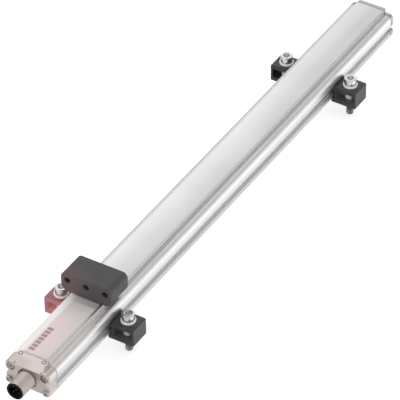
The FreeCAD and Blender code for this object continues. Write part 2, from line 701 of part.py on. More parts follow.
def waveguide_sleeve():
    near_x = BOBBIN_X + BOBBIN_LENGTH / 2 + SLEEVE_NEAR_GAP
    tube = rod_x(SLEEVE_RADIUS, near_x, damper_near_x(), 0, WIRE_Z)
    return tube.cut(rod_x(SLEEVE_BORE, near_x, damper_near_x(), 0, WIRE_Z))


def damping_sleeve():
    """Soft tapered plug round the far end of the wire, which stops echoes."""
    near_x = damper_near_x()
    return revolved_x([
        (near_x, WIRE_RADIUS),
        (near_x, SLEEVE_RADIUS - DAMPER_TAPER),
        (near_x + DAMPER_LENGTH / 3, SLEEVE_RADIUS),
        (CARRIER_FAR_X, SLEEVE_RADIUS),
        (CARRIER_FAR_X, WIRE_RADIUS),
    ], 0, WIRE_Z)


def waveguide_carrier():
    """Plastic strip in the housing's slots, with a trough that holds the sleeve."""
    outer_y = TROUGH_HALF_WIDTH + TROUGH_WALL
    floor_z = WIRE_Z - SLEEVE_RADIUS
    section = mirrored([
        (BOARD_HALF_WIDTH, SLOT_FLOOR_Z, 0),
        (BOARD_HALF_WIDTH, BOARD_TOP_Z, 0),
        (outer_y, BOARD_TOP_Z, 0.4),
        (outer_y, WIRE_Z + TROUGH_RIM, 0.3),
        (TROUGH_HALF_WIDTH, WIRE_Z + TROUGH_RIM, 0.3),
        (TROUGH_HALF_WIDTH, floor_z, 0),
    ])
    return prism_x(section, CARRIER_NEAR_X, CARRIER_FAR_X)


def return_wire():
    far_x = CARRIER_FAR_X + CLIP_THICKNESS + WIRE_END_OVERHANG
    return rod_x(RETURN_RADIUS, BOARD_FAR_X - LEAD_PAD_LENGTH, far_x, RETURN_Y, BOARD_TOP_Z + RETURN_RADIUS)


def return_clip():
    """Plate across the carrier's far end that joins the waveguide and the return wire."""
    low_z = BOARD_TOP_Z + RETURN_RADIUS
    far_x = CARRIER_FAR_X + CLIP_THICKNESS
    outline = [
        (-CLIP_EDGE, WIRE_Z - CLIP_EDGE, 0.4),
        (RETURN_Y - CLIP_EDGE, low_z - CLIP_EDGE, 0.4),
        (RETURN_Y + CLIP_EDGE, low_z - CLIP_EDGE, 0.4),
        (RETURN_Y + CLIP_EDGE, low_z + CLIP_EDGE, 0.4),
        (CLIP_EDGE, WIRE_Z + CLIP_EDGE, 0.4),
        (-CLIP_EDGE, WIRE_Z + CLIP_EDGE, 0.4),
    ]
    plate = prism_x(outline, CARRIER_FAR_X, far_x)
    return plate.cut([
        rod_x(WIRE_RADIUS, CARRIER_FAR_X, far_x, 0, WIRE_Z),
        rod_x(RETURN_RADIUS, CARRIER_FAR_X, far_x, RETURN_Y, low_z),
    ])


def magnet_outline():
    top = MAGNET_BOTTOM_Z + MAGNET_HEIGHT
    return mirrored([
        (MAGNET_HALF_WIDTH, MAGNET_BOTTOM_Z, MAGNET_BOTTOM_RADIUS),
        (MAGNET_HALF_WIDTH, top, MAGNET_TOP_RADIUS),
    ])


def magnet_pocket():
    middle = MAGNET_FRONT_X + MAGNET_LENGTH / 2
    outline = rectangle(
        middle - POCKET_LENGTH / 2, middle + POCKET_LENGTH / 2,
        -POCKET_HALF_WIDTH, POCKET_HALF_WIDTH, POCKET_CORNER)
    return prism_z(outline, MAGNET_BOTTOM_Z, MAGNET_BOTTOM_Z + POCKET_DEPTH)


def magnet_housing():
    """Moulded block with three cross holes and a pocket for the magnets underneath."""
    far_x = MAGNET_FRONT_X + MAGNET_LENGTH
    solid = prism_x(magnet_outline(), MAGNET_FRONT_X, far_x)
    ends = [
        edge for edge in solid.Edges
        if abs(edge.BoundBox.XLength) < SAME_POINT
    ]
    solid = solid.makeFillet(MAGNET_EDGE, ends)
    reach = MAGNET_HOLE_RADIUS + MAGNET_HOLE_CHAMFER
    cutters = [magnet_pocket()]
    for k in (-1, 0, 1):
        cutters.append(revolved_x([
            (MAGNET_FRONT_X, 0),
            (MAGNET_FRONT_X, reach),
            (MAGNET_FRONT_X + MAGNET_HOLE_CHAMFER, MAGNET_HOLE_RADIUS),
            (far_x - MAGNET_HOLE_CHAMFER, MAGNET_HOLE_RADIUS),
            (far_x, reach),
            (far_x, 0),
        ], k * MAGNET_HOLE_PITCH, MAGNET_HOLE_Z))
    return solid.cut(cutters)


def magnet_bars():
    """Permanent magnets against the roof of the pocket, evenly spaced."""
    pitch = 2 * POCKET_HALF_WIDTH / BAR_COUNT
    middle = MAGNET_FRONT_X + MAGNET_LENGTH / 2
    roof = MAGNET_BOTTOM_Z + POCKET_DEPTH
    bars = []
    for k in range(BAR_COUNT):
        y = (k - (BAR_COUNT - 1) / 2) * pitch
        outline = rectangle(
            middle - BAR_LENGTH / 2, middle + BAR_LENGTH / 2, y - BAR_WIDTH / 2, y + BAR_WIDTH / 2, 0.5)
        bars.append(prism_z(outline, roof - BAR_HEIGHT, roof))
    return bars


def magnet_potting():
    """Cast resin that fills the pocket round the magnets, flush with the underside."""
    return magnet_pocket().cut(magnet_bars())


def clamp_section(side):
    """Outline of a clamp in (y, z): foot under the rib, nose in the groove, block outside."""
    foot_top = UNDERSIDE_Z - RUNNING_GAP
    foot_y = HALF_WIDTH - FOOT_REACH
    nose_y = GROOVE_FLOOR_Y + NOSE_TIP_GAP
    nose_low = GROOVE_LOW_Z + RUNNING_GAP
    nose_high = GROOVE_HIGH_Z - RUNNING_GAP
    points = [
        (foot_y, 0, 0.3),
        (CLAMP_OUTER_Y, 0, CLAMP_EDGE_RADIUS),
        (CLAMP_OUTER_Y, CLAMP_HEIGHT, CLAMP_EDGE_RADIUS),
        (THROAT_Y, CLAMP_HEIGHT, 0.3),
        (THROAT_Y, nose_high, 0.3),
        (nose_y, nose_high, 0.5),
        (nose_y, nose_low, 0.5),
        (THROAT_Y, nose_low, 0.3),
        (THROAT_Y, foot_top, 0.3),
        (foot_y, foot_top, 0.3),
    ]
    return [(side * y, z, radius) for y, z, radius in points]


def clamp(centre_x, side):
    """One mounting clamp: hooked section, a pocket in each end, a web between and a bush hole."""
    near_x = centre_x - CLAMP_LENGTH / 2
    far_x = centre_x + CLAMP_LENGTH / 2
    solid = prism_x(clamp_section(side), near_x, far_x)
    rims = [
        edge for edge in solid.Edges
        if edge.BoundBox.XLength < SAME_POINT and edge.BoundBox.ZMax > CLAMP_HEIGHT - SAME_POINT
        and edge.Curve.TypeId == "Part::GeomLine"
    ]
    solid = solid.makeFillet(CLAMP_END_RADIUS, rims)
    inner_y = THROAT_Y + POCKET_INNER
    outer_y = CLAMP_OUTER_Y - POCKET_SIDE
    low_y, high_y = sorted((side * inner_y, side * outer_y))
    window = rectangle(low_y, high_y, POCKET_FLOOR, CLAMP_HEIGHT - POCKET_ROOF, POCKET_RADIUS)
    hole = Part.makeCylinder(
        BUSH_RADIUS + PIN_CLEARANCE, CLAMP_HEIGHT, V(centre_x, side * SCREW_Y, 0), UP)
    return solid.cut([
        prism_x(window, near_x, centre_x - WEB_THICKNESS / 2),
        prism_x(window, centre_x + WEB_THICKNESS / 2, far_x),
        hole,
    ])


def insulating_bush(centre_x, side):
    """Flanged sleeve that keeps the screw off the clamp."""
    bore = SCREW_RADIUS + BOLT_CLEARANCE
    return revolved_z([
        (bore, BUSH_FOOT_GAP),
        (BUSH_RADIUS, BUSH_FOOT_GAP),
        (BUSH_RADIUS, CLAMP_HEIGHT),
        (BUSH_FLANGE_RADIUS, CLAMP_HEIGHT),
        (BUSH_FLANGE_RADIUS, CLAMP_HEIGHT + BUSH_FLANGE_THICKNESS),
        (bore, CLAMP_HEIGHT + BUSH_FLANGE_THICKNESS),
    ], centre_x, side * SCREW_Y)


def fixing_screw(centre_x, side):
    """Socket-head screw: head on the bush's flange, threaded end below the mounting plane."""
    seat = CLAMP_HEIGHT + BUSH_FLANGE_THICKNESS
    top = seat + HEAD_HEIGHT
    tip = seat - SCREW_LENGTH
    y = side * SCREW_Y
    solid = revolved_z([
        (0, tip),
        (SCREW_RADIUS - TIP_CHAMFER, tip),
        (SCREW_RADIUS, tip + TIP_CHAMFER),
        (SCREW_RADIUS, 0),
        (SHANK_RADIUS, 0),
        (SHANK_RADIUS, seat),
        (HEAD_RADIUS, seat),
        (HEAD_RADIUS, top - HEAD_CHAMFER),
        (HEAD_RADIUS - HEAD_CHAMFER, top),
        (0, top),
    ], centre_x, y)
    corner = SOCKET_ACROSS_FLATS / math.sqrt(3)
    return solid.cut(hexagon(V(centre_x, y, top - SOCKET_DEPTH), corner, V(0, 0, SOCKET_DEPTH)))


def connector_end_screws():
    """Four alike screws, the upper two with their heads in the counterbores."""
    return Part.makeCompound([
        cap_screw(CAP_FRONT_X + (CAP_SEAT_DEPTH if sunk(z) else 0), -1, CAP_THICKNESS, y, z)
        for y, z in CHANNELS
    ])


def far_end_screws():
    outer_x = FAR_CAP_X + FAR_CAP_THICKNESS
    return Part.makeCompound([cap_screw(outer_x, 1, FAR_CAP_THICKNESS, y, z) for y, z in CHANNELS])


def beside_middle(shape):
    """Shape moved to the magnet's place across the housing."""
    return shape.translated(V(0, MAGNET_OFFSET_Y, 0))


def pieces():
    """Every separate piece by name."""
    named = {
        "profile_housing": profile_housing(),
        "connector_end_cap": connector_end_cap(),
        "connector_end_gasket": gasket(GASKET_FRONT_X),
        "connector_end_screws": connector_end_screws(),
        "far_end_cap": far_end_cap(),
        "far_end_gasket": gasket(HOUSING_FAR_X),
        "far_end_screws": far_end_screws(),
        "status_lights": status_lights(),
        "connector_shell": connector_shell(),
        "connector_seal": connector_seal(),
        "connector_insert": connector_insert(),
        "connector_pins": connector_pins(),
        "connector_leads": connector_leads(),
        "nameplate": nameplate(),
        "circuit_board": circuit_board(),
        "board_components": board_components(),
        "pickup_bobbin": pickup_bobbin(),
        "pickup_winding": pickup_winding(),
        "wire_anchor": wire_anchor(),
        "waveguide_wire": waveguide_wire(),
        "waveguide_sleeve": waveguide_sleeve(),
        "waveguide_carrier": waveguide_carrier(),
        "damping_sleeve": damping_sleeve(),
        "return_wire": return_wire(),
        "return_clip": return_clip(),
        "magnet_housing": beside_middle(magnet_housing()),
        "magnet_bars": beside_middle(Part.makeCompound(magnet_bars())),
        "magnet_potting": beside_middle(magnet_potting()),
    }
    for end, x in (("near", -CLAMP_X), ("far", CLAMP_X)):
        for hand, side in (("left", 1), ("right", -1)):
            named[f"clamp_{end}_{hand}"] = clamp(x, side)
            named[f"bush_{end}_{hand}"] = insulating_bush(x, side)
            named[f"screw_{end}_{hand}"] = fixing_screw(x, side)
    return named


def main():
    os.makedirs("parts", exist_ok=True)
    for name, shape in pieces().items():
        if not shape.isValid() or shape.Volume <= 0:
            raise ValueError(f"{name} is not a sound solid")
        shape.exportStep(f"parts/{name}.step")


main()
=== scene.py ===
import math

import bmesh
import bpy
import numpy as np
from mathutils import Matrix, Vector


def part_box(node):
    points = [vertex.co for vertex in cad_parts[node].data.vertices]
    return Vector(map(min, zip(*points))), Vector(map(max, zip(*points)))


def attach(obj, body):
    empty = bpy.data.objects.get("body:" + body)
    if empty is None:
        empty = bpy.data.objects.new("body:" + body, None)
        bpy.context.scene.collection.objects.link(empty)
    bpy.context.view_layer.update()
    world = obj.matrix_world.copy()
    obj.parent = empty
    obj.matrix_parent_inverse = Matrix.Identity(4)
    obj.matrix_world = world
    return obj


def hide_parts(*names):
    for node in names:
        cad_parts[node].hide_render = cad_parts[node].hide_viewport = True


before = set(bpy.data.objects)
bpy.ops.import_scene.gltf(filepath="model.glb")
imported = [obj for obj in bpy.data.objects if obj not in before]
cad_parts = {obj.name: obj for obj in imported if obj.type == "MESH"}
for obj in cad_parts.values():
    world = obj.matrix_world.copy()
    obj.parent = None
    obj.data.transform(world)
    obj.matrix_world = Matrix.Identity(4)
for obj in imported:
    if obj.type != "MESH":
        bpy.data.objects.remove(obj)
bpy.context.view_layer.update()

bl_info = {
    "name": "Linear position sensor",
    "version": (1, 0, 0),
    "blender": (4, 5, 0),
    "location": "3D View > Sidebar > Sensor",
    "description": "Surfaces, finishes and studio for a position sensor in a flat extruded housing",
    "category": "Add Mesh",
}

MM = 0.001
TURN = 2 * math.pi
SHARP = math.radians(35)       # faces that meet at more than this keep a hard edge
MERGE = 1e-7                   # points nearer than this are one, in metres
CORNERS = ("near_left", "near_right", "far_left", "far_right")   # where the clamps are

# Connector: the sleeve's radii and lengths along the axis
SHELL_BORE = 5.2 * MM
SHELL_RADIUS = 6.0 * MM
COLLAR_RADIUS = 6.5 * MM
COLLAR_SETBACK = 1.4 * MM      # collar's face behind the cap's front
NECK_LENGTH = 2.0 * MM
FLANGE_THICKNESS = 1.2 * MM

# Fixing screws and their bushes
SCREW_RADIUS = 2.5 * MM
SCREW_SHANK = 2.4 * MM
SCREW_POINT = 0.6 * MM         # bevel at the tip
BUSH_BORE = 2.6 * MM
BUSH_SLEEVE = 3.4 * MM
BUSH_FLANGE = 1.4 * MM         # thickness
SOCKET_SIDES = 6

# Cap screws
CAP_PITCH = 0.5 * MM
CAP_THREAD = 0.22 * MM         # crest to root
CAP_LOBE = 0.26 * MM           # depth of the drive's lobes
CAP_LOBES = 6
CAP_SEAT = 2.25 * MM           # a head's radius with a little clearance

# Blocks on the nameplate: where they lie from the plate's start and from the middle line
MARK_START, MARK_END = 2.4 * MM, 26.8 * MM
MARK_FOOT, MARK_TOP = 2.8 * MM, 6.8 * MM
MARK_BLOCKS = 7
MARK_GAP = (0.70, 0.80)        # where in its pitch a block fades out
MARK_STRENGTH = 0.62
MARK_EDGE = 0.12 * MM
WARM_LENGTH, WARM_WIDTH = 30 * MM, 13 * MM     # reach of the warm tint round them

# Linear tints that are laid over the finishes; most of them are painted light and shade
# White for painted light in the groove by the connector end and a painted highlight on the right
# shoulder
PAINTED_HIGHLIGHT_WHITE = (1.0, 1.0, 1.0)
# Painted light on the deck's left side and painted shade on its right side
DECK_LEFT_LIT, DECK_RIGHT_SHADED = (0.96, 0.96, 0.96), (0.72, 0.72, 0.72)
# Grey for painted shade on the deck's far end, the left shoulder and the rib
PAINTED_SHADE_GREY = (0.1, 0.1, 0.1)
# Near black for painted shade in a corner and along the rib's edge under the groove
PAINTED_SHADE_DARK = (0.05, 0.05, 0.05)
# Multiplier for painted warm light on the right flank by the near clamps
WARM_LIGHT = (1.0, 0.925, 0.91, 1.0)
# Pale tone for painted light on the right ledge up to the magnet
LEDGE_PAINTED_LIGHT = (0.80, 0.765, 0.75)
# Near white for a painted highlight along the deck's left edge up to the magnet
EDGE_PAINTED_HIGHLIGHT = (0.99, 0.96, 0.95)
# Pale tone for a painted highlight on the cap's right flank
CAP_FLANK_HIGHLIGHT = (0.93, 0.90, 0.885)
# Pale tone for a painted highlight on the cap's top land
CAP_LAND_HIGHLIGHT = (0.93, 0.80, 0.785)
# Pale tone for painted light inside the cap's bores
CAP_BORES_LIT = (0.97, 0.92, 0.90)
# Pale tone for painted light along the plate's left side
PLATE_LEFT_LIT = (0.93, 0.90, 0.89)
# Dark tone for the painted shadow of the magnet on the plate's end
PLATE_END_SHADOW = (0.02, 0.01, 0.01)
# Dark tone for painted shade along the sleeve's left side
SLEEVE_LEFT_SHADE = (0.08, 0.06, 0.055)
# Dark tone for painted shade on the screws' tips under the clamps
TIP_SHADE = (0.06, 0.055, 0.055)
LENS_RIM, LENS_MIDDLE = (0.46, 0.42, 0.40), (0.88, 0.86, 0.83)
LENS_SHARE = 0.72              # bright middle over the whole light, by radius

# Studio, in metres, degrees and millimetres of lens
LOOK_AT = Vector((0.0, 0.0, 0.012))
KEY_PLACE, KEY_SIZE = (0.78, 0.70, 0.90), (1.3, 0.9)
FILL_PLACE, FILL_SIZE = (-0.86, 0.54, 0.84), (0.8, 0.8)
CAMERA_PLACE = (-1.50733, -0.93044, 1.44488)
CAMERA_TURN = (-58.075, 39.183, 0.857)     # azimuth, elevation and roll
CAMERA_LENS = 313.46
FLOOR_REACH = 4.0
FLOOR_GREY = (0.76, 0.76, 0.76, 1)


def size_mm(name, default, text):
    """A length property that is shown in millimetres."""
    return bpy.props.FloatProperty(
        name=name, description=text, default=default * MM, unit="LENGTH", precision=5)


def colour_of(name, default, text):
    """A linear colour property."""
    return bpy.props.FloatVectorProperty(
        name=name, description=text, default=default, size=3, min=0.0, max=1.0, subtype="COLOR")


class SensorSizes(bpy.types.PropertyGroup):
    """Sizes of the pieces that are made here."""

    connector_pitch: size_mm("Connector thread pitch", 1.0, "Pitch of the M12 thread")
    connector_depth: size_mm("Connector thread depth", 0.5, "Crest to root of the M12 thread")
    screw_pitch: size_mm("Screw thread pitch", 0.8, "Pitch of the M5 thread")
    screw_depth: size_mm("Screw thread depth", 0.45, "Crest to root of the M5 thread")
    head_radius: size_mm("Head radius", 4.25, "Radius of the fixing screw's head")
    head_height: size_mm("Head height", 5.0, "Height of the fixing screw's head")
    socket_flat: size_mm("Socket flat", 2.0, "Half the width across the hexagon socket's flats")
    socket_depth: size_mm("Socket depth", 2.5, "Depth of the hexagon socket")
    knurl_depth: size_mm("Knurl depth", 0.05, "Depth of the grooves round the head")
    knurl_count: bpy.props.IntProperty(
        name="Knurl count", description="Grooves round the head", default=36, min=3)
    bush_round: size_mm("Bush rounding", 0.3, "Radius of the flange's edges")
    cap_head_radius: size_mm("Cap screw radius", 2.2, "Radius of a cap screw's head")
    cap_drive_radius: size_mm("Cap screw drive", 1.1, "Radius of a cap screw's drive")
    cap_shank_radius: size_mm("Cap screw shank", 1.2, "Radius of a cap screw's thread")
    light_radius: size_mm("Light radius", 1.05, "Radius of a status light")
    # The dish's dark tone on the cap is painted shade
    light_rim: size_mm("Light rim", 1.6, "Radius of the dark dish round a status light")


class SensorColours(bpy.types.PropertyGroup):
    """Linear colours of the finishes."""

    housing: colour_of("Housing", (0.85, 0.85, 0.855), "Satin anodised extrusion")
    cap: colour_of("Caps", (0.75, 0.675, 0.65), "Cast end caps")
    gasket: colour_of("Gaskets", (0.66, 0.60, 0.58), "Grey rubber under the caps")
    shell: colour_of("Connector shell", (0.82, 0.745, 0.70), "Nickel plated sleeve")
    steel: colour_of("Screws", (0.80, 0.795, 0.785), "Zinc plated steel")
    cap_screw: colour_of("Cap screws", (0.64, 0.60, 0.575), "Dull zinc of the cap screws")
    far_cap: colour_of("Far cap", (0.58, 0.575, 0.57), "Greyer cap at the far end")
    black: colour_of("Black mouldings", (0.013, 0.009, 0.009), "Contact carrier and seals")
    magnet: colour_of("Magnet housing", (0.078, 0.072, 0.075), "Moulded block")
    # Tint for painted red light on the magnet near the red clamp
    magnet_red_light: colour_of(
        "Magnet housing, warm side", (0.135, 0.082, 0.084), "Its tint near the red clamp")
    clamp: colour_of("Clamps", (0.045, 0.043, 0.044), "Black clamps")
    red_clamp: colour_of("Red clamp", (0.38, 0.15, 0.165), "The wine red clamp")
    # Light tone for painted light inside the red clamp's pockets
    red_pocket_light: colour_of("Red clamp's pockets", (0.84, 0.43, 0.45), "Paint inside its pockets")
    bush: colour_of("Bushes", (0.98, 0.965, 0.95), "Ivory plastic")
    plate: colour_of("Nameplate", (0.70, 0.66, 0.65), "Plate away from its mark")
    plate_warm: colour_of("Nameplate by the mark", (0.84, 0.685, 0.68), "Plate round its mark")
    mark: colour_of("Mark", (0.22, 0.045, 0.06), "Dark red blocks on the plate")


class SensorStudio(bpy.types.PropertyGroup):
    """Lamps, floor and world."""

    key_power: bpy.props.FloatProperty(
        name="Key power", description="Large soft lamp behind on the left, in watts",
        default=2.25, min=0.0)
    fill_power: bpy.props.FloatProperty(
        name="Fill power", description="Soft lamp over the connector end, in watts",
        default=1.65, min=0.0)
    ambient: bpy.props.FloatProperty(
        name="Ambient", description="World strength for light that falls on the object",
        default=0.78, min=0.0)
    mirrored: bpy.props.FloatProperty(
        name="Mirrored", description="World strength in reflections", default=0.46, min=0.0)
    right_glow: bpy.props.FloatProperty(
        name="Right side glow", description="Extra strength in reflections towards the right",
        default=0.5, min=0.0)
    left_dim: bpy.props.FloatProperty(
        name="Left side dimming", description="Strength taken from reflections towards the left",
        default=0.08, min=0.0)
    floor_glow: bpy.props.FloatProperty(
        name="Floor white", description="Lift of the floor towards white in the picture",
        default=0.6, min=0.0)
    floor_mirrored: bpy.props.FloatProperty(
        name="Floor in reflections", description="Lift of the floor in reflections",
        default=0.25, min=0.0)
    floor_right: bpy.props.FloatProperty(
        name="Floor on the right", description="Further lift in reflections on the right side",
        default=0.5, min=0.0)
    floor_depth: bpy.props.FloatProperty(
        name="Floor height", description="Floor under the screws' tips", default=-11.1 * MM,
        unit="LENGTH")


def centre_of(node):
    """Middle of a CAD node's box."""
    low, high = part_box(node)
    return (low + high) / 2


def grid_object(name, points, wrap_rows=False, wrap_columns=True):
    """Object from a grid of points, each cell one quad between neighbours in row and column.

    A row whose points fall together becomes a pole. Closed surfaces are turned outwards by
    the sign of their volume, which is the sum of a . (b x c) / 6 over the triangles.
    """
    rows, columns = points.shape[:2]
    i = np.arange(rows if wrap_rows else rows - 1)[:, None]
    j = np.arange(columns if wrap_columns else columns - 1)[None, :]
    ahead, beside = (i + 1) % rows, (j + 1) % columns
    quads = np.stack(np.broadcast_arrays(
        i * columns + j, i * columns + beside, ahead * columns + beside, ahead * columns + j), -1)
    quads = quads.reshape(-1, 4)
    flat = points.reshape(-1, 3)
    a, b, c, d = (flat[quads[:, k]] for k in range(4))
    volume = sum(np.einsum("ij,ij->", a, np.cross(p, q)) for p, q in ((b, c), (c, d))) / 6
    if volume < 0:
        quads = quads[:, ::-1]
    mesh = bpy.data.meshes.new(name)
    mesh.vertices.add(len(flat))
    mesh.vertices.foreach_set("co", flat.astype(np.float32).ravel())
    mesh.loops.add(quads.size)
    mesh.loops.foreach_set("vertex_index", quads.astype(np.int32).ravel())
    mesh.polygons.add(len(quads))
    mesh.polygons.foreach_set("loop_start", np.arange(0, quads.size, 4, dtype=np.int32))
    mesh.polygons.foreach_set("loop_total", np.full(len(quads), 4, dtype=np.int32))
    mesh.update(calc_edges=True)
    tidy_mesh(mesh)
    mesh.polygons.foreach_set("use_smooth", np.ones(len(mesh.polygons), dtype=bool))
    mesh.set_sharp_from_angle(angle=SHARP)
    made = bpy.data.objects.new(name, mesh)
    bpy.context.scene.collection.objects.link(made)
    return made


def tidy_mesh(mesh):
    """Joins points that fall together, which closes seams and poles."""
    work = bmesh.new()
    work.from_mesh(mesh)
    bmesh.ops.remove_doubles(work, verts=work.verts, dist=MERGE)
    bmesh.ops.dissolve_degenerate(work, dist=MERGE / 10, edges=work.edges)
    work.to_mesh(mesh)
    work.free()


def stations(*runs):
    """Rows of a turned profile: each run is (count, first values, last values), evenly spaced."""
    return np.vstack([np.linspace(first, last, count) for count, first, last in runs])


def turned(profile, columns, axis, centre, ridges=1, pitch=1.0):
    """Grid of a turned surface that may carry a thread, ridges or a hexagon socket.

    A profile row is (height, radius, hexagon share, ridge depth, thread depth). At angle q the
    radius is  r (1 - h + h / cos(q folded into one sixth)) - ridge (1 - cos(n q)) / 2
    - thread times a triangle wave of height / pitch - q / turn.
    """
    height, radius, hexed, ridge, thread = (profile[:, k, None] for k in range(5))
    q = np.linspace(0, TURN, columns, endpoint=False)[None, :]
    folded = np.mod(q, TURN / SOCKET_SIDES) - TURN / SOCKET_SIDES / 2
    reach = radius * (1 - hexed + hexed / np.cos(folded))
    reach = reach - ridge * (1 - np.cos(ridges * q)) / 2
    wave = np.abs(np.mod(height / pitch - q / TURN, 1.0) * 2 - 1)
    reach = np.maximum(reach - thread * wave, 0.0)
    rise = np.broadcast_to(height, reach.shape)
    across, up = reach * np.cos(q), reach * np.sin(q)
    if axis == "X":
        points = np.stack([rise, across, up], -1)
        return points + np.array([0.0, centre[0], centre[1]])
    points = np.stack([across, up, rise], -1)
    return points + np.array([centre[0], centre[1], 0.0])


def join(tree, kind, **settings):
    """Adds one shader node and sets its properties."""
    node = tree.nodes.new(kind)
    for key, value in settings.items():
        setattr(node, key, value)
    return node


def place(tree, output="Object"):
    """X, Y and Z of the shaded point, in the object's own coordinates and in metres."""
    where = join(tree, "ShaderNodeTexCoord")
    apart = join(tree, "ShaderNodeSeparateXYZ")
    tree.links.new(where.outputs[output], apart.inputs[0])
    return [apart.outputs[axis] for axis in "XYZ"]


def grain_value(tree, scale, detail=4.0, offset=(0, 0, 0)):
    """Noise from 0 to 1 whose grain has the given count to the metre along each axis."""
    where = join(tree, "ShaderNodeTexCoord")
    fit = join(tree, "ShaderNodeMapping")
    fit.inputs["Scale"].default_value = scale
    fit.inputs["Location"].default_value = offset
    noise = join(tree, "ShaderNodeTexNoise")
    noise.inputs["Scale"].default_value = 1.0
    noise.inputs["Detail"].default_value = detail
    tree.links.new(where.outputs["Object"], fit.inputs["Vector"])
    tree.links.new(fit.outputs["Vector"], noise.inputs["Vector"])
    return noise.outputs["Fac"]


def ranged(tree, value, low, high, first, last, soft=False):
    """Maps low..high to first..last, clamped."""
    node = join(tree, "ShaderNodeMapRange", clamp=True)
    if soft:
        node.interpolation_type = "SMOOTHSTEP"
    for key, number in (("From Min", low), ("From Max", high), ("To Min", first), ("To Max", last)):
        node.inputs[key].default_value = number
    tree.links.new(value, node.inputs["Value"])
    return node.outputs["Result"]


def edge(value, low, high, first=0.0, last=1.0, soft=True):
    """The same between two places given in millimetres, by default a soft rise to 1."""
    return ranged(value.id_data, value, low * MM, high * MM, first, last, soft)


def figured(tree, operation, a, b=0.0):
    """One operation on one or two values, each a socket or a number."""
    node = join(tree, "ShaderNodeMath", operation=operation)
    for slot, value in enumerate((a, b)):
        if isinstance(value, (int, float)):
            node.inputs[slot].default_value = value
        else:
            tree.links.new(value, node.inputs[slot])
    return node.outputs[0]


def product(tree, first, *others):
    """Product of several values, each a socket or a number."""
    for value in others:
        first = figured(tree, "MULTIPLY", first, value)
    return first


def squares(tree, a, b):
    """Sum of the squares of two values."""
    return figured(tree, "ADD", product(tree, a, a), product(tree, b, b))


def blended(tree, share, a, b):
    """Colour between a and b, each a socket or a linear colour."""
    node = join(tree, "ShaderNodeMix", data_type="RGBA")
    tree.links.new(share, node.inputs[0])
    for slot, value in ((6, a), (7, b)):
        if isinstance(value, bpy.types.NodeSocket):
            tree.links.new(value, node.inputs[slot])
        else:
            node.inputs[slot].default_value = (*value, 1.0)
    return node.outputs[2]


def shade(colour, factor):
    """Colour made lighter or darker, within 0 to 1."""
    return tuple(min(1.0, max(0.0, c * factor)) for c in colour)


def opened(material):
    """Tree, shader and present base colour of a finish, and X, Y and Z of the point."""
    tree = material.node_tree
    shader = tree.nodes["Principled BSDF"]
    return tree, shader, shader.inputs["Base Color"].links[0].from_socket, place(tree)


def repainted(tree, shader, colour):
    """Gives the shader this base colour."""
    tree.links.new(colour, shader.inputs["Base Color"])


def finish(name, colour, metallic, rough, grain, tone=0.06, swing=0.06, bump=0.06, depth=0.02,
           cloud=60.0, cloud_tone=0.04, coat=0.0, specular=0.5):
    """Surface with grain, cloudy tone, uneven gloss and fine relief.

    grain gives the texture's count to the metre along X, Y and Z, and cloud that of its
    clouds. tone and cloud_tone are the swing of the colour, swing is that of the roughness,
    bump the strength of the relief and depth its depth in millimetres.
    """
    material = bpy.data.materials.new(name)
    material.use_nodes = True
    tree = material.node_tree
    shader = tree.nodes["Principled BSDF"]
    shader.inputs["Metallic"].default_value = metallic
    shader.inputs["Specular IOR Level"].default_value = specular
    shader.inputs["Coat Weight"].default_value = coat
    shader.inputs["Coat Roughness"].default_value = 0.12
    fine = grain_value(tree, grain)
    broad = grain_value(tree, (cloud, cloud, cloud), 3.0, (0.3, 0.7, 0.1))
    fine_colour = blended(tree, ranged(tree, fine, 0.3, 0.7, 0.0, 1.0),
                          shade(colour, 1 - tone), shade(colour, 1 + tone))
    clouded = ranged(tree, broad, 0.3, 0.7, 0.0, cloud_tone * 2)
    repainted(tree, shader, blended(tree, clouded, fine_colour, shade(colour, 0.5)))
    uneven = figured(tree, "ADD", ranged(tree, fine, 0.3, 0.7, -swing, swing),
                     ranged(tree, broad, 0.35, 0.65, rough - swing / 2, rough + swing / 2))
    tree.links.new(uneven, shader.inputs["Roughness"])
    relief = join(tree, "ShaderNodeBump")
    relief.inputs["Strength"].default_value = bump
    relief.inputs["Distance"].default_value = depth * MM
    tree.links.new(fine, relief.inputs["Height"])
    tree.links.new(relief.outputs["Normal"], shader.inputs["Normal"])
    return material


def wear(material, *objects):
    """Gives each object this one material."""
    for thing in objects:
        thing.data.materials.clear()
        thing.data.materials.append(material)


def dress(material, *nodes):
    """Puts the material on CAD nodes, whose shape is kept."""
    for node in nodes:
        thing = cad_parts[node]
        for slot in thing.material_slots:
            slot.material = material


def light_disc(tree, where, radius):
    """1 inside the given radius of a status light's middle, 0 outside, seen from above."""
    low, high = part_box("status_lights")
    x, y, z = where
    ahead = figured(tree, "SUBTRACT", x, (low.x + high.x) / 2)
    aside = figured(tree, "SUBTRACT", figured(tree, "ABSOLUTE", y), high.y - (high.x - low.x) / 2)
    away = figured(tree, "SQRT", squares(tree, ahead, aside))
    flat = ranged(tree, away, radius - 0.1 * MM, radius + 0.1 * MM, 1.0, 0.0, True)
    return product(tree, flat, ranged(tree, z, low.z, low.z + 0.5 * MM, 0.0, 1.0))


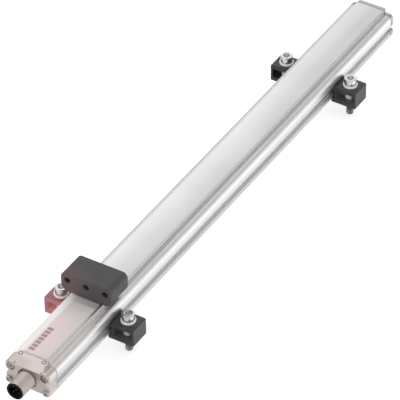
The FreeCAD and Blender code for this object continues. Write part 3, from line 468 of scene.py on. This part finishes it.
class SENSOR_OT_housing(bpy.types.Operator):
    """Satin extrusion, cast caps and rubber gaskets"""

    bl_idname = "sensor.housing"
    bl_label = "Housing"

    def execute(self, context):
        colours = context.scene.sensor_colours
        drawn = finish("satin_extrusion", colours.housing, 1.0, 0.40, (6, 1500, 1500),
                       tone=0.035, swing=0.05, bump=0.25, depth=0.02, cloud=25.0, cloud_tone=0.02)
        cast, far = (
            finish(name, colour, 1.0, 0.42, (1400, 1400, 1400),
                   tone=0.05, swing=0.07, bump=0.3, depth=0.03, cloud=120.0)
            for name, colour in (("cast_cap", colours.cap), ("far_cap", colours.far_cap)))
        rubber = finish("gasket_rubber", colours.gasket, 0.0, 0.62, (900, 900, 900), tone=0.08)
        self.tone_cap(cast, colours.cap, context.scene.sensor_sizes.light_rim)
        self.tone_extrusion(drawn)
        dress(drawn, "profile_housing")
        dress(cast, "connector_end_cap")
        dress(far, "far_end_cap")
        dress(rubber, "connector_end_gasket", "far_end_gasket")
        return {"FINISHED"}

    def tone_cap(self, material, colour, rim):
        """Painted shade in the dishes round the lights, painted highlights on the flank and land,
        and painted light in the bores.
        """
        tree, shader, plain, where = opened(material)
        _, y, z = where
        cut = self.bores(tree, where)
        for share, tint in (
                # Painted shade in the dish round each status light
                (light_disc(tree, where, rim), shade(colour, 0.6)),
                # Painted highlight on the cap's right flank
                (edge(y, -14.5, -12.0, 0.38, 0.0), CAP_FLANK_HIGHLIGHT),
                # Painted highlight on the cap's top land
                (edge(z, 24.0, 24.2, 0.0, 0.6), CAP_LAND_HIGHLIGHT),
                # Painted light inside the bores round the cap screws
                (cut, CAP_BORES_LIT)):
            plain = blended(tree, share, plain, tint)
        repainted(tree, shader, plain)
        # Less metallic where the bores carry painted light
        tree.links.new(figured(tree, "SUBTRACT", 1.0, cut), shader.inputs["Metallic"])

    def bores(self, tree, where):
        """Share of painted light, a pale and less metallic tone, inside the four bores round the
        cap screws.
        """
        low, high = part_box("connector_end_screws")
        x, y, z = where
        aside = figured(tree, "SUBTRACT", figured(tree, "ABSOLUTE", y), high.y - CAP_SEAT)
        level = figured(tree, "ABSOLUTE", figured(tree, "SUBTRACT", z, (low.z + high.z) / 2))
        level = figured(tree, "SUBTRACT", level, (high.z - low.z) / 2 - CAP_SEAT)
        away = figured(tree, "SQRT", squares(tree, aside, level))
        inside = edge(away, 2.75, 2.95, 0.8, 0.0, False)
        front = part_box("connector_end_cap")[0].x
        behind = ranged(tree, x, front + 0.1 * MM, front + 0.3 * MM, 0.0, 1.0)
        return product(tree, inside, behind)

    def tone_extrusion(self, material):
        """Tones each part of the section with painted light and shade; the connector end is warmer
        and paler.

        Each share is a product of edges along the axes. The deck's top is at z 24.3 and its
        sides at y +-10.9, the ledges beside it at z 21.1 and the flanks at y +-16.2. The
        grooves lie between z 8.8 and 12.8, over the ribs.
        """
        tree, shader, plain, (x, y, z) = opened(material)
        # Painted light and shade across the deck: lighter on the left, darker on the right
        deck_light_ramp = blended(tree, edge(y, -10, 10, 1.0, 0.0, False), DECK_LEFT_LIT, DECK_RIGHT_SHADED)
        # Painted shade greying the deck towards the far end
        deck_light_ramp = blended(tree, edge(x, 60, 200, 0.0, 0.13), deck_light_ramp, PAINTED_SHADE_GREY)
        deck = edge(z, 23.6, 24.2, 0.0, 0.9, False)
        # Painted warm light on the right flank by the near clamps
        near = product(tree, edge(x, -185, -125, 1, 0), edge(y, -15.8, -14),
                       edge(z, 13, 18, 0.25, 1, False))
        warm = join(tree, "ShaderNodeMix", data_type="RGBA", blend_type="MULTIPLY")
        warm.inputs[7].default_value = WARM_LIGHT
        tree.links.new(near, warm.inputs[0])
        tree.links.new(blended(tree, deck, plain, deck_light_ramp), warm.inputs[6])

        ledge = product(tree, edge(y, -14.2, -13.2), edge(y, -10.9, -10.7, 1, 0), edge(z, 20.8, 21))
        # Painted shade in the corner between the ledge and the deck's wall
        corner = product(tree, ledge, edge(y, -11.2, -11, 0.05, 0.2), edge(x, -180, -120, 0.1, 1))
        # Painted light in the groove by the connector end
        groove = product(tree, edge(y, -15.9, -15.5), edge(z, 8.9, 9.1), edge(z, 12.4, 13, 1, 0),
                         edge(x, -165, -120, 1, 0))
        above = edge(z, 18.6, 19)
        # Painted highlight on the right shoulder
        right_shoulder_highlight = product(tree, edge(y, -15.9, -15.6), edge(y, -14.4, -13.9, 1, 0), above)
        # Painted shade on the left shoulder and along the rib
        left_shoulder_shade = product(tree, edge(y, 13.9, 14.4, 0.0, 0.14), above)
        rib = product(tree, edge(y, -15.8, -15.4, 1, 0), edge(z, 7.6, 8, 1, 0),
                      edge(x, -150, -50, 0.0, 0.16))
        # Painted shade along the rib's upper edge, under the groove
        lip = product(tree, edge(y, -15.6, -15.2, 1, 0), edge(z, 6, 8.4),
                      edge(z, 8.7, 8.9, 0.45, 0.0, False))
        # Painted light: a pale, less metallic patch on the right ledge up to the magnet
        lit_ledge = product(tree, ledge, edge(x, -150, -135, 0.5, 0.0))
        # Painted highlight along the deck's left edge up to the magnet
        strip = product(tree, edge(x, -152, -138, 1, 0), edge(y, 8.6, 9.4, 0.0, 0.85))
        colour = warm.outputs[2]
        for share, tint in ((corner, PAINTED_SHADE_DARK), (groove, PAINTED_HIGHLIGHT_WHITE), (right_shoulder_highlight, PAINTED_HIGHLIGHT_WHITE),
                            (left_shoulder_shade, PAINTED_SHADE_GREY), (rib, PAINTED_SHADE_GREY), (lip, PAINTED_SHADE_DARK),
                            (lit_ledge, LEDGE_PAINTED_LIGHT), (strip, EDGE_PAINTED_HIGHLIGHT)):
            colour = blended(tree, share, colour, tint)
        repainted(tree, shader, colour)
        # The painted light and painted highlight patches are made less metallic, so they show no
        # reflection
        dull = figured(tree, "ADD", strip, lit_ledge)
        tree.links.new(figured(tree, "SUBTRACT", 1.0, dull), shader.inputs["Metallic"])


class SENSOR_OT_nameplate(bpy.types.Operator):
    """Pale plate with a soft warm tint and a row of dark red blocks"""

    bl_idname = "sensor.nameplate"
    bl_label = "Nameplate"

    def execute(self, context):
        colours = context.scene.sensor_colours
        print_film = finish("plate_print", colours.plate, 0.0, 0.42, (700, 700, 700),
                            tone=0.02, swing=0.05, bump=0.05, cloud=40.0, cloud_tone=0.02)
        tree, shader, plain, (x, y, _) = opened(print_film)
        low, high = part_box("nameplate")
        start, end = low.x + MARK_START, low.x + MARK_END
        along = figured(tree, "SUBTRACT", x, (start + end) / 2)
        aside = figured(tree, "SUBTRACT", y, (MARK_FOOT + MARK_TOP) / 2)
        away = squares(tree, figured(tree, "DIVIDE", along, WARM_LENGTH),
                       figured(tree, "DIVIDE", aside, WARM_WIDTH))
        warm = ranged(tree, away, 0.1, 1.5, 0.9, 0.0, True)
        sides = ((x, start, 0), (x, end, 1), (y, MARK_FOOT, 0), (y, MARK_TOP, 1))
        inside = product(tree, *(
            ranged(tree, value, limit - MARK_EDGE, limit + MARK_EDGE, first, 1 - first, True)
            for value, limit, first in sides))
        pitch = (end - start) / MARK_BLOCKS
        step = figured(tree, "DIVIDE", figured(tree, "SUBTRACT", x, start), pitch)
        between = ranged(tree, figured(tree, "FRACT", step), *MARK_GAP, 1, 0, True)
        # Painted shadow of the magnet on the plate's end
        magnet_shadow = ranged(tree, x, high.x - 7.2 * MM, high.x - 4.4 * MM, 0.0, 1.0, True)
        for share, tint in ((warm, colours.plate_warm),
                            (product(tree, inside, between, MARK_STRENGTH), colours.mark),
                            # Painted light along the plate's left side
                            (edge(y, 6.2, 9.2), PLATE_LEFT_LIT),
                            (product(tree, magnet_shadow, edge(y, -8, 8, 0.38, 0.2, False)), PLATE_END_SHADOW)):
            plain = blended(tree, share, plain, tint)
        repainted(tree, shader, plain)
        dress(print_film, "nameplate")
        return {"FINISHED"}


class SENSOR_OT_connector(bpy.types.Operator):
    """Threaded sleeve, contact carrier, seal and pins of the plug connector"""

    bl_idname = "sensor.connector"
    bl_label = "Connector"

    def execute(self, context):
        sizes, colours = context.scene.sensor_sizes, context.scene.sensor_colours
        low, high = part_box("connector_shell")
        axis = centre_of("connector_shell")
        front, rear = low.x, high.x
        flange = rear - FLANGE_THICKNESS
        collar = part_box("connector_end_cap")[0].x + COLLAR_SETBACK
        neck = collar - NECK_LENGTH
        flange_radius = (high.z - low.z) / 2
        cut = sizes.connector_depth
        root = SHELL_RADIUS - cut
        row = lambda x, r, thread=0.0: (x, r, 0.0, 0.0, thread)
        profile = stations(
            (2, row(front, SHELL_BORE), row(front, root)),
            (3, row(front, root + 0.02 * MM), row(front + 0.45 * MM, SHELL_RADIUS)),
            (100, row(front + 0.5 * MM, SHELL_RADIUS, cut),
             row(neck - 0.15 * MM, SHELL_RADIUS, cut)),
            (2, row(neck, root), row(neck + 0.1 * MM, root)),
            (2, row(collar - 0.05 * MM, root), row(collar, root + 0.05 * MM)),
            (3, row(collar, COLLAR_RADIUS - 0.25 * MM), row(collar + 0.25 * MM, COLLAR_RADIUS)),
            (2, row(flange - 0.05 * MM, COLLAR_RADIUS), row(flange, COLLAR_RADIUS)),
            (2, row(flange, flange_radius), row(rear, flange_radius)),
            (2, row(rear, SHELL_BORE), row(rear - 0.1 * MM, SHELL_BORE)),
        )
        sleeve = grid_object(
            "threaded_sleeve",
            turned(profile, 96, "X", (axis.y, axis.z), pitch=sizes.connector_pitch),
            wrap_rows=True)
        nickel = finish("satin_nickel", colours.shell, 1.0, 0.58, (1800, 300, 300),
                        tone=0.05, swing=0.06, bump=0.1)
        black = finish("contact_carrier", colours.black, 0.0, 0.55, (900, 900, 900), tone=0.25,
                       specular=0.12)
        # Painted shade: the pins are darkened for their place deep in the socket
        brass = finish("shaded_pins", (0.16, 0.10, 0.07), 1.0, 0.4, (2000, 2000, 2000))
        self.shaded_left(nickel)
        wear(nickel, sleeve)
        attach(sleeve, "sensor_body")
        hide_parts("connector_shell")
        dress(black, "connector_insert", "connector_seal")
        dress(brass, "connector_pins")
        return {"FINISHED"}

    def shaded_left(self, material):
        """Painted shade: a darker stripe along the sleeve's upper left side."""
        tree, shader, plain, (_, y, _) = opened(material)
        repainted(tree, shader, blended(tree, edge(y, 3.5, 4.6, 0.0, 0.8), plain, SLEEVE_LEFT_SHADE))


class SENSOR_OT_fixing_screws(bpy.types.Operator):
    """Socket-head screws with knurled heads and cut threads"""

    bl_idname = "sensor.fixing_screws"
    bl_label = "Fixing screws"

    def execute(self, context):
        sizes, colours = context.scene.sensor_sizes, context.scene.sensor_colours
        steel = finish("bright_zinc", colours.steel, 1.0, 0.24, (900, 900, 900),
                       tone=0.06, swing=0.06, bump=0.08)
        self.shaded_tip(steel)
        for corner in CORNERS:
            node = "screw_" + corner
            low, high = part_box(node)
            middle = centre_of(node)
            points = turned(
                self.profile(sizes, low.z, high.z), 144, "Z", (middle.x, middle.y),
                ridges=sizes.knurl_count, pitch=sizes.screw_pitch)
            screw = grid_object("fixing_screw_" + corner, points)
            wear(steel, screw)
            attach(screw, corner + "_clamp")
            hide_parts(node)
        return {"FINISHED"}

    def shaded_tip(self, material):
        """Painted shade: a darker thread under the clamps."""
        tree, shader, plain, (_, _, z) = opened(material)
        below = product(tree, edge(z, -8, -3, 0.55, 0.8), edge(z, 0, 2, 1.0, 0.0, False))
        repainted(tree, shader, blended(tree, below, plain, TIP_SHADE))

    def profile(self, sizes, tip, top):
        """From the tip up the thread and shank, round the head and down into the socket."""
        thread, head, flat = SCREW_RADIUS, sizes.head_radius, sizes.socket_flat
        seat = top - sizes.head_height
        cut, knurl = sizes.screw_depth, sizes.knurl_depth
        floor = top - sizes.socket_depth
        row = lambda z, r, hexed=0.0, ridge=0.0, groove=0.0: (z, r, hexed, ridge, groove)
        return stations(
            (2, row(tip, 0.0), row(tip, thread - SCREW_POINT - 0.02 * MM)),
            (3, row(tip + 0.02 * MM, thread - SCREW_POINT),
             row(tip + 0.55 * MM, thread, groove=cut)),
            (110, row(tip + 0.6 * MM, thread, groove=cut), row(-0.3 * MM, thread, groove=cut)),
            (2, row(-0.05 * MM, thread, groove=cut), row(0.0, SCREW_SHANK)),
            (2, row(0.1 * MM, SCREW_SHANK), row(seat - 0.05 * MM, SCREW_SHANK)),
            (2, row(seat, SCREW_SHANK + 0.05 * MM), row(seat, head - 0.3 * MM)),
            (3, row(seat + 0.02 * MM, head - 0.2 * MM), row(seat + 0.25 * MM, head)),
            (6, row(seat + 0.4 * MM, head, ridge=knurl), row(top - 0.8 * MM, head, ridge=knurl)),
            (2, row(top - 0.6 * MM, head), row(top - 0.4 * MM, head)),
            (4, row(top - 0.33 * MM, head - 0.03 * MM), row(top - 0.02 * MM, head - 0.36 * MM)),
            (2, row(top, head - 0.45 * MM), row(top, flat * 1.22)),
            (2, row(top - 0.03 * MM, flat * 1.19), row(top - 0.25 * MM, flat, 1.0)),
            (2, row(top - 0.3 * MM, flat, 1.0), row(floor, flat, 1.0)),
            (2, row(floor, flat * 0.9, 1.0), row(floor - 0.35 * MM, 0.0)),
        )


class SENSOR_OT_bushes(bpy.types.Operator):
    """Ivory flanged bushes with rounded rims"""

    bl_idname = "sensor.bushes"
    bl_label = "Bushes"

    def execute(self, context):
        sizes, colours = context.scene.sensor_sizes, context.scene.sensor_colours
        ivory = finish("ivory_plastic", colours.bush, 0.0, 0.30, (700, 700, 700),
                       tone=0.015, swing=0.05, bump=0.05, coat=0.5, cloud_tone=0.01)
        soft = sizes.bush_round
        bend = np.linspace(0, math.pi / 2, 6)
        inward, outward = soft * (1 - np.cos(bend)), soft * (1 - np.sin(bend))
        for corner in CORNERS:
            node = "bush_" + corner
            low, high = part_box(node)
            middle = centre_of(node)
            rim = (high.x - low.x) / 2
            seat = high.z - BUSH_FLANGE
            outline = np.vstack([
                [(low.z, BUSH_BORE), (low.z, BUSH_SLEEVE), (seat - 0.01 * MM, BUSH_SLEEVE),
                 (seat, BUSH_SLEEVE + 0.02 * MM)],
                np.stack([seat + inward, rim - outward], -1),
                np.stack([high.z - outward, rim - inward], -1),
                [(high.z, BUSH_BORE + 0.2 * MM), (high.z - 0.2 * MM, BUSH_BORE)]])
            profile = np.hstack([outline, np.zeros((len(outline), 3))])
            points = turned(profile, 72, "Z", (middle.x, middle.y))
            bush = grid_object("flanged_bush_" + corner, points, wrap_rows=True)
            wear(ivory, bush)
            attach(bush, corner + "_clamp")
            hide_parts(node)
        return {"FINISHED"}


class SENSOR_OT_clamps(bpy.types.Operator):
    """Painted clamps, three black and one wine red"""

    bl_idname = "sensor.clamps"
    bl_label = "Clamps"

    def execute(self, context):
        colours = context.scene.sensor_colours
        for corner in ("near_right", "far_left", "far_right"):
            black = finish("black_paint_" + corner, colours.clamp, 0.0, 0.42, (600, 600, 600),
                           tone=0.12, swing=0.08, bump=0.25, depth=0.03, specular=0.6)
            # Painted shade: darker face and pocket tones on the far left clamp
            dim = 0.3 if corner == "far_left" else 1.0
            self.lit_and_shaded(black, "clamp_" + corner, shade(colours.clamp, 2.6 * dim),
                           shade(colours.clamp, 0.55 * dim))
            dress(black, "clamp_" + corner)
        red = finish("wine_red_paint", colours.red_clamp, 0.0, 0.45, (600, 600, 600),
                     tone=0.07, swing=0.08, bump=0.25, depth=0.03)
        # Painted light in the red clamp's pockets and on its face
        self.lit_and_shaded(red, "clamp_near_left", colours.red_pocket_light, shade(colours.red_clamp, 1.35))
        dress(red, "clamp_near_left")
        return {"FINISHED"}

    def lit_and_shaded(self, material, node, pocket, front):
        """Painted light and shade in the pockets and on the face towards the connector."""
        tree, shader, plain, (x, y, z) = opened(material)
        low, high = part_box(node)
        step = 0.4 * MM
        right, left = (1.2, 3.0) if high.y < 0 else (3.0, 1.2)
        inside = product(tree, *(
            ranged(tree, value, limit - back, limit - back + step, first, 1 - first)
            for value, start, end in ((x, low.x, high.x),
                                      (y, low.y + right * MM, high.y - left * MM),
                                      (z, low.z + 2.8 * MM, high.z - 2.2 * MM))
            for limit, back, first in ((start, 0.0, 0.0), (end, step, 1.0))))
        face = ranged(tree, x, low.x + 0.2 * MM, low.x + 0.4 * MM, 1.0, 0.0)
        plain = blended(tree, face, plain, front)
        repainted(tree, shader, blended(tree, inside, plain, pocket))


class SENSOR_OT_cap_screws(bpy.types.Operator):
    """Round-headed screws with lobed drives that hold the end caps"""

    bl_idname = "sensor.cap_screws"
    bl_label = "Cap screws"

    def execute(self, context):
        sizes, colours = context.scene.sensor_sizes, context.scene.sensor_colours
        steel = finish("cap_screw_zinc", colours.cap_screw, 1.0, 0.34, (900, 900, 900),
                       tone=0.05, swing=0.05, bump=0.06)
        for node, outward in (("connector_end_screws", -1), ("far_end_screws", 1)):
            screws = None
            for low, high in self.islands(node):
                middle = (low + high) / 2
                head, tip = (high[0], low[0]) if outward > 0 else (low[0], high[0])
                points = turned(self.profile(sizes, head, tip, outward), 96, "X",
                                (middle[1], middle[2]), ridges=CAP_LOBES, pitch=CAP_PITCH)
                screw = grid_object(node + "_round", points)
                screws = screw if screws is None else self.merged(screws, screw)
            wear(steel, screws)
            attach(screws, "sensor_body")
            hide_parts(node)
        return {"FINISHED"}

    def islands(self, node):
        """Lowest and highest corner of each of the four screws, one to a quadrant of (y, z)."""
        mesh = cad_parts[node].data
        flat = np.empty(len(mesh.vertices) * 3, dtype=np.float32)
        mesh.vertices.foreach_get("co", flat)
        flat = flat.reshape(-1, 3).astype(float)
        split = (flat[:, 2].min() + flat[:, 2].max()) / 2
        quadrant = (flat[:, 1] > 0) * 2 + (flat[:, 2] > split)
        return [(flat[quadrant == k].min(0), flat[quadrant == k].max(0)) for k in range(4)]

    def profile(self, sizes, head, tip, outward):
        """From the drive's floor over the round head, under it and down the thread to the tip."""
        radius, drive = sizes.cap_head_radius, sizes.cap_drive_radius
        shank, lobe, cut = sizes.cap_shank_radius, CAP_LOBE, CAP_THREAD
        reach = abs(tip - head) / MM
        row = lambda x, r, lobes=0.0, thread=0.0: (head - outward * x * MM, r, 0.0, lobes, thread)
        return stations(
            (2, row(1.1, 0.0), row(1.0, drive * 0.8, lobe)),
            (2, row(0.95, drive * 0.92, lobe), row(0.12, drive, lobe)),
            (2, row(0.05, drive * 1.15), row(0.0, drive * 1.28)),
            (2, row(0.02, radius * 0.64), row(0.08, radius * 0.75)),
            (4, row(0.17, radius * 0.86), row(0.5, radius * 0.985)),
            (2, row(0.7, radius), row(1.45, radius)),
            (2, row(1.57, radius - 0.05 * MM), row(1.6, radius - 0.2 * MM)),
            (2, row(1.62, shank + 0.1 * MM), row(1.7, shank - 0.1 * MM)),
            (60, row(1.8, shank, thread=cut), row(reach - 0.7, shank, thread=cut)),
            (2, row(reach - 0.6, shank * 0.8), row(reach, shank * 0.6)),
            (1, row(reach, 0.0), row(reach, 0.0)),
        )

    def merged(self, first, second):
        """First object with the second one's mesh added, and the second removed."""
        work = bmesh.new()
        work.from_mesh(first.data)
        work.from_mesh(second.data)
        work.to_mesh(first.data)
        work.free()
        bpy.data.objects.remove(second)
        return first


class SENSOR_OT_status_lights(bpy.types.Operator):
    """Clear domes of the two status lights"""

    bl_idname = "sensor.status_lights"
    bl_label = "Status lights"

    def execute(self, context):
        lens = finish("clear_lens", LENS_RIM, 0.0, 0.16, (700, 700, 700),
                      tone=0.1, swing=0.03, bump=0.02, coat=0.6)
        tree, shader, plain, where = opened(lens)
        inner = light_disc(tree, where, context.scene.sensor_sizes.light_radius * LENS_SHARE)
        repainted(tree, shader, blended(tree, inner, plain, LENS_MIDDLE))
        dress(lens, "status_lights")
        return {"FINISHED"}


class SENSOR_OT_magnet(bpy.types.Operator):
    """Moulded magnet block with its bars and potting"""

    bl_idname = "sensor.magnet"
    bl_label = "Position magnet"

    def execute(self, context):
        colours = context.scene.sensor_colours
        moulded = finish("moulded_block", colours.magnet, 0.0, 0.55, (1100, 1100, 1100),
                         tone=0.08, swing=0.07, bump=0.3, depth=0.03, cloud=90.0)
        self.red_light_side(moulded, colours.magnet_red_light)
        ferrite = finish("ground_ferrite", (0.16, 0.16, 0.17), 0.6, 0.4, (80, 1500, 1500))
        resin = finish("cast_resin", (0.014, 0.012, 0.012), 0.0, 0.25, (200, 200, 200), tone=0.2)
        dress(moulded, "magnet_housing")
        dress(ferrite, "magnet_bars")
        dress(resin, "magnet_potting")
        return {"FINISHED"}

    def red_light_side(self, material, tint):
        """Painted red light: turns the tint redder towards the lower left of the connector side."""
        tree, shader, plain, (x, y, _) = opened(material)
        low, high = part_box("magnet_housing")
        left = ranged(tree, y, low.y + 8 * MM, high.y, 0.0, 1.0, True)
        front = ranged(tree, x, low.x, low.x + 14 * MM, 1.0, 0.0, True)
        repainted(tree, shader, blended(tree, product(tree, left, front), plain, tint))


class SENSOR_OT_inner_parts(bpy.types.Operator):
    """Board, coil, waveguide and the other pieces inside the housing"""

    bl_idname = "sensor.inner_parts"
    bl_label = "Inner parts"

    def execute(self, context):
        mask = finish("solder_mask", (0.012, 0.09, 0.03), 0.0, 0.35, (500, 500, 500),
                      tone=0.2, coat=0.3)
        chips = finish("chip_resin", (0.012, 0.012, 0.014), 0.0, 0.55, (900, 900, 900), tone=0.2)
        white = finish("white_nylon", (0.66, 0.66, 0.62), 0.0, 0.5, (500, 500, 500), tone=0.03)
        copper = finish("enamelled_copper", (0.46, 0.16, 0.06), 0.9, 0.3, (4000, 60, 60),
                        tone=0.2, bump=0.5)
        brass = finish("turned_brass", (0.62, 0.44, 0.16), 1.0, 0.3, (900, 900, 900))
        steel = finish("drawn_wire", (0.55, 0.55, 0.56), 1.0, 0.25, (20, 2500, 2500))
        grey = finish("grey_nylon", (0.07, 0.075, 0.085), 0.0, 0.55, (300, 900, 900), tone=0.1)
        rubber = finish("damping_rubber", (0.035, 0.012, 0.01), 0.0, 0.75, (600, 600, 600),
                        tone=0.2)
        lead = finish("lead_sleeve", (0.17, 0.075, 0.045), 0.0, 0.5, (700, 700, 700), tone=0.1)
        dress(mask, "circuit_board")
        dress(chips, "board_components")
        dress(white, "pickup_bobbin", "waveguide_sleeve")
        dress(copper, "pickup_winding", "return_wire")
        dress(brass, "wire_anchor", "return_clip")
        dress(steel, "waveguide_wire")
        dress(grey, "waveguide_carrier")
        dress(rubber, "damping_sleeve")
        dress(lead, "connector_leads")
        return {"FINISHED"}


class SENSOR_OT_studio(bpy.types.Operator):
    """Floor, world, lamps and camera"""

    bl_idname = "sensor.studio"
    bl_label = "Studio"

    def execute(self, context):
        studio = context.scene.sensor_studio
        self.floor(studio)
        self.world(context.scene, studio)
        self.lamp("key_lamp", KEY_PLACE, KEY_SIZE, studio.key_power)
        self.lamp("fill_lamp", FILL_PLACE, FILL_SIZE, studio.fill_power)
        self.camera(context.scene)
        context.scene.view_settings.view_transform = "Standard"
        return {"FINISHED"}

    def floor(self, studio):
        """Flat grid of floor under the screws' tips: z is the same everywhere."""
        span = np.linspace(-FLOOR_REACH, FLOOR_REACH, 9)
        u, v = np.meshgrid(span, span, indexing="ij")
        points = np.stack([u, v, np.full_like(u, studio.floor_depth)], -1)
        floor = grid_object("studio_floor", points, wrap_columns=False)
        material = bpy.data.materials.new("white_floor")
        material.use_nodes = True
        tree = material.node_tree
        tree.nodes.clear()
        out = join(tree, "ShaderNodeOutputMaterial")
        paint = join(tree, "ShaderNodeBsdfDiffuse")
        paint.inputs["Color"].default_value = FLOOR_GREY
        glow = join(tree, "ShaderNodeEmission")
        both = join(tree, "ShaderNodeAddShader")
        camera, mirror = self.rays(tree)
        x, y, _ = place(tree)
        right = ranged(tree, y, -0.08, -0.02, studio.floor_right, 0.0, True)
        seen = product(tree, figured(tree, "ADD", right, studio.floor_mirrored),
                       ranged(tree, x, -0.235, -0.16, 0.0, 1.0, True))
        lift = figured(tree, "ADD", product(tree, camera, studio.floor_glow),
                       product(tree, mirror, seen))
        tree.links.new(lift, glow.inputs["Strength"])
        tree.links.new(paint.outputs[0], both.inputs[0])
        tree.links.new(glow.outputs[0], both.inputs[1])
        tree.links.new(both.outputs[0], out.inputs["Surface"])
        wear(material, floor)

    def world(self, scene, studio):
        """White to the camera, soft grey as light; reflections are brightest on the right."""
        world = bpy.data.worlds.new("studio_world")
        world.use_nodes = True
        tree = world.node_tree
        back = tree.nodes["Background"]
        back.inputs["Color"].default_value = (1, 1, 1, 1)
        camera, mirror = self.rays(tree)
        _, y, z = place(tree, "Generated")
        right = product(tree, ranged(tree, y, -0.70, -0.35, 1.0, 0.0, True),
                        ranged(tree, z, 0.1, 0.6, studio.right_glow, 0.0, True))
        left = ranged(tree, y, 0.45, 0.75, 0.0, -studio.left_dim, True)
        sides = figured(tree, "ADD", right, left)
        seen = figured(tree, "ADD", sides, studio.mirrored - studio.ambient)
        lit = figured(tree, "ADD", product(tree, mirror, seen), studio.ambient)
        rest = product(tree, figured(tree, "SUBTRACT", 1.0, camera), lit)
        tree.links.new(figured(tree, "ADD", camera, rest), back.inputs["Strength"])
        scene.world = world

    def rays(self, tree):
        """Whether a ray comes from the camera, and whether it is a reflection."""
        sent = join(tree, "ShaderNodeLightPath").outputs
        return sent["Is Camera Ray"], figured(
            tree, "MAXIMUM", sent["Is Glossy Ray"], sent["Is Transmission Ray"])

    def lamp(self, name, origin, size, power):
        """Soft rectangular lamp that faces the object's middle."""
        data = bpy.data.lights.new(name, "AREA")
        data.shape = "RECTANGLE"
        data.size, data.size_y = size
        data.energy = power
        thing = bpy.data.objects.new(name, data)
        bpy.context.scene.collection.objects.link(thing)
        origin = Vector(origin)
        thing.matrix_world = Matrix.Translation(origin) @ (
            (LOOK_AT - origin).to_track_quat("-Z", "Y").to_matrix().to_4x4())

    def camera(self, scene):
        """Long lens, looking down the sensor from the connector end."""
        data = bpy.data.cameras.new("studio_camera")
        data.sensor_width = 36.0
        data.lens = CAMERA_LENS
        data.clip_start = 0.05
        data.clip_end = 50.0
        thing = bpy.data.objects.new("studio_camera", data)
        scene.collection.objects.link(thing)
        a, e, roll = (math.radians(v) for v in CAMERA_TURN)
        back = Vector((math.sin(a) * math.cos(e), -math.cos(a) * math.cos(e), math.sin(e)))
        level = Vector((math.cos(a), math.sin(a), 0.0))
        upright = back.cross(level)
        right = level * math.cos(roll) - upright * math.sin(roll)
        up = level * math.sin(roll) + upright * math.cos(roll)
        turn = Matrix((right, up, back)).transposed().to_4x4()
        thing.matrix_world = Matrix.Translation(CAMERA_PLACE) @ turn
        scene.camera = thing


class SENSOR_PT_panel(bpy.types.Panel):
    """Lists the sensor's pieces and the studio"""

    bl_idname = "SENSOR_PT_panel"
    bl_label = "Position sensor"
    bl_space_type = "VIEW_3D"
    bl_region_type = "UI"
    bl_category = "Sensor"

    def draw(self, context):
        for operator in OPERATORS:
            self.layout.operator(operator.bl_idname)
        for group in ("sensor_sizes", "sensor_colours", "sensor_studio"):
            box = self.layout.box()
            settings = getattr(context.scene, group)
            for key in settings.__annotations__:
                box.prop(settings, key)


OPERATORS = (
    SENSOR_OT_housing, SENSOR_OT_nameplate, SENSOR_OT_connector, SENSOR_OT_fixing_screws,
    SENSOR_OT_bushes, SENSOR_OT_clamps, SENSOR_OT_cap_screws, SENSOR_OT_status_lights,
    SENSOR_OT_magnet, SENSOR_OT_inner_parts, SENSOR_OT_studio,
)
CLASSES = (SensorSizes, SensorColours, SensorStudio, *OPERATORS, SENSOR_PT_panel)


def register():
    for made in CLASSES:
        bpy.utils.register_class(made)
    bpy.types.Scene.sensor_sizes = bpy.props.PointerProperty(type=SensorSizes)
    bpy.types.Scene.sensor_colours = bpy.props.PointerProperty(type=SensorColours)
    bpy.types.Scene.sensor_studio = bpy.props.PointerProperty(type=SensorStudio)


def unregister():
    del bpy.types.Scene.sensor_studio
    del bpy.types.Scene.sensor_colours
    del bpy.types.Scene.sensor_sizes
    for made in reversed(CLASSES):
        bpy.utils.unregister_class(made)


def main():
    register()
    bpy.ops.sensor.housing()
    bpy.ops.sensor.nameplate()
    bpy.ops.sensor.connector()
    bpy.ops.sensor.fixing_screws()
    bpy.ops.sensor.bushes()
    bpy.ops.sensor.clamps()
    bpy.ops.sensor.cap_screws()
    bpy.ops.sensor.status_lights()
    bpy.ops.sensor.magnet()
    bpy.ops.sensor.inner_parts()
    bpy.ops.sensor.studio()


if __name__ == "__main__":
    main()
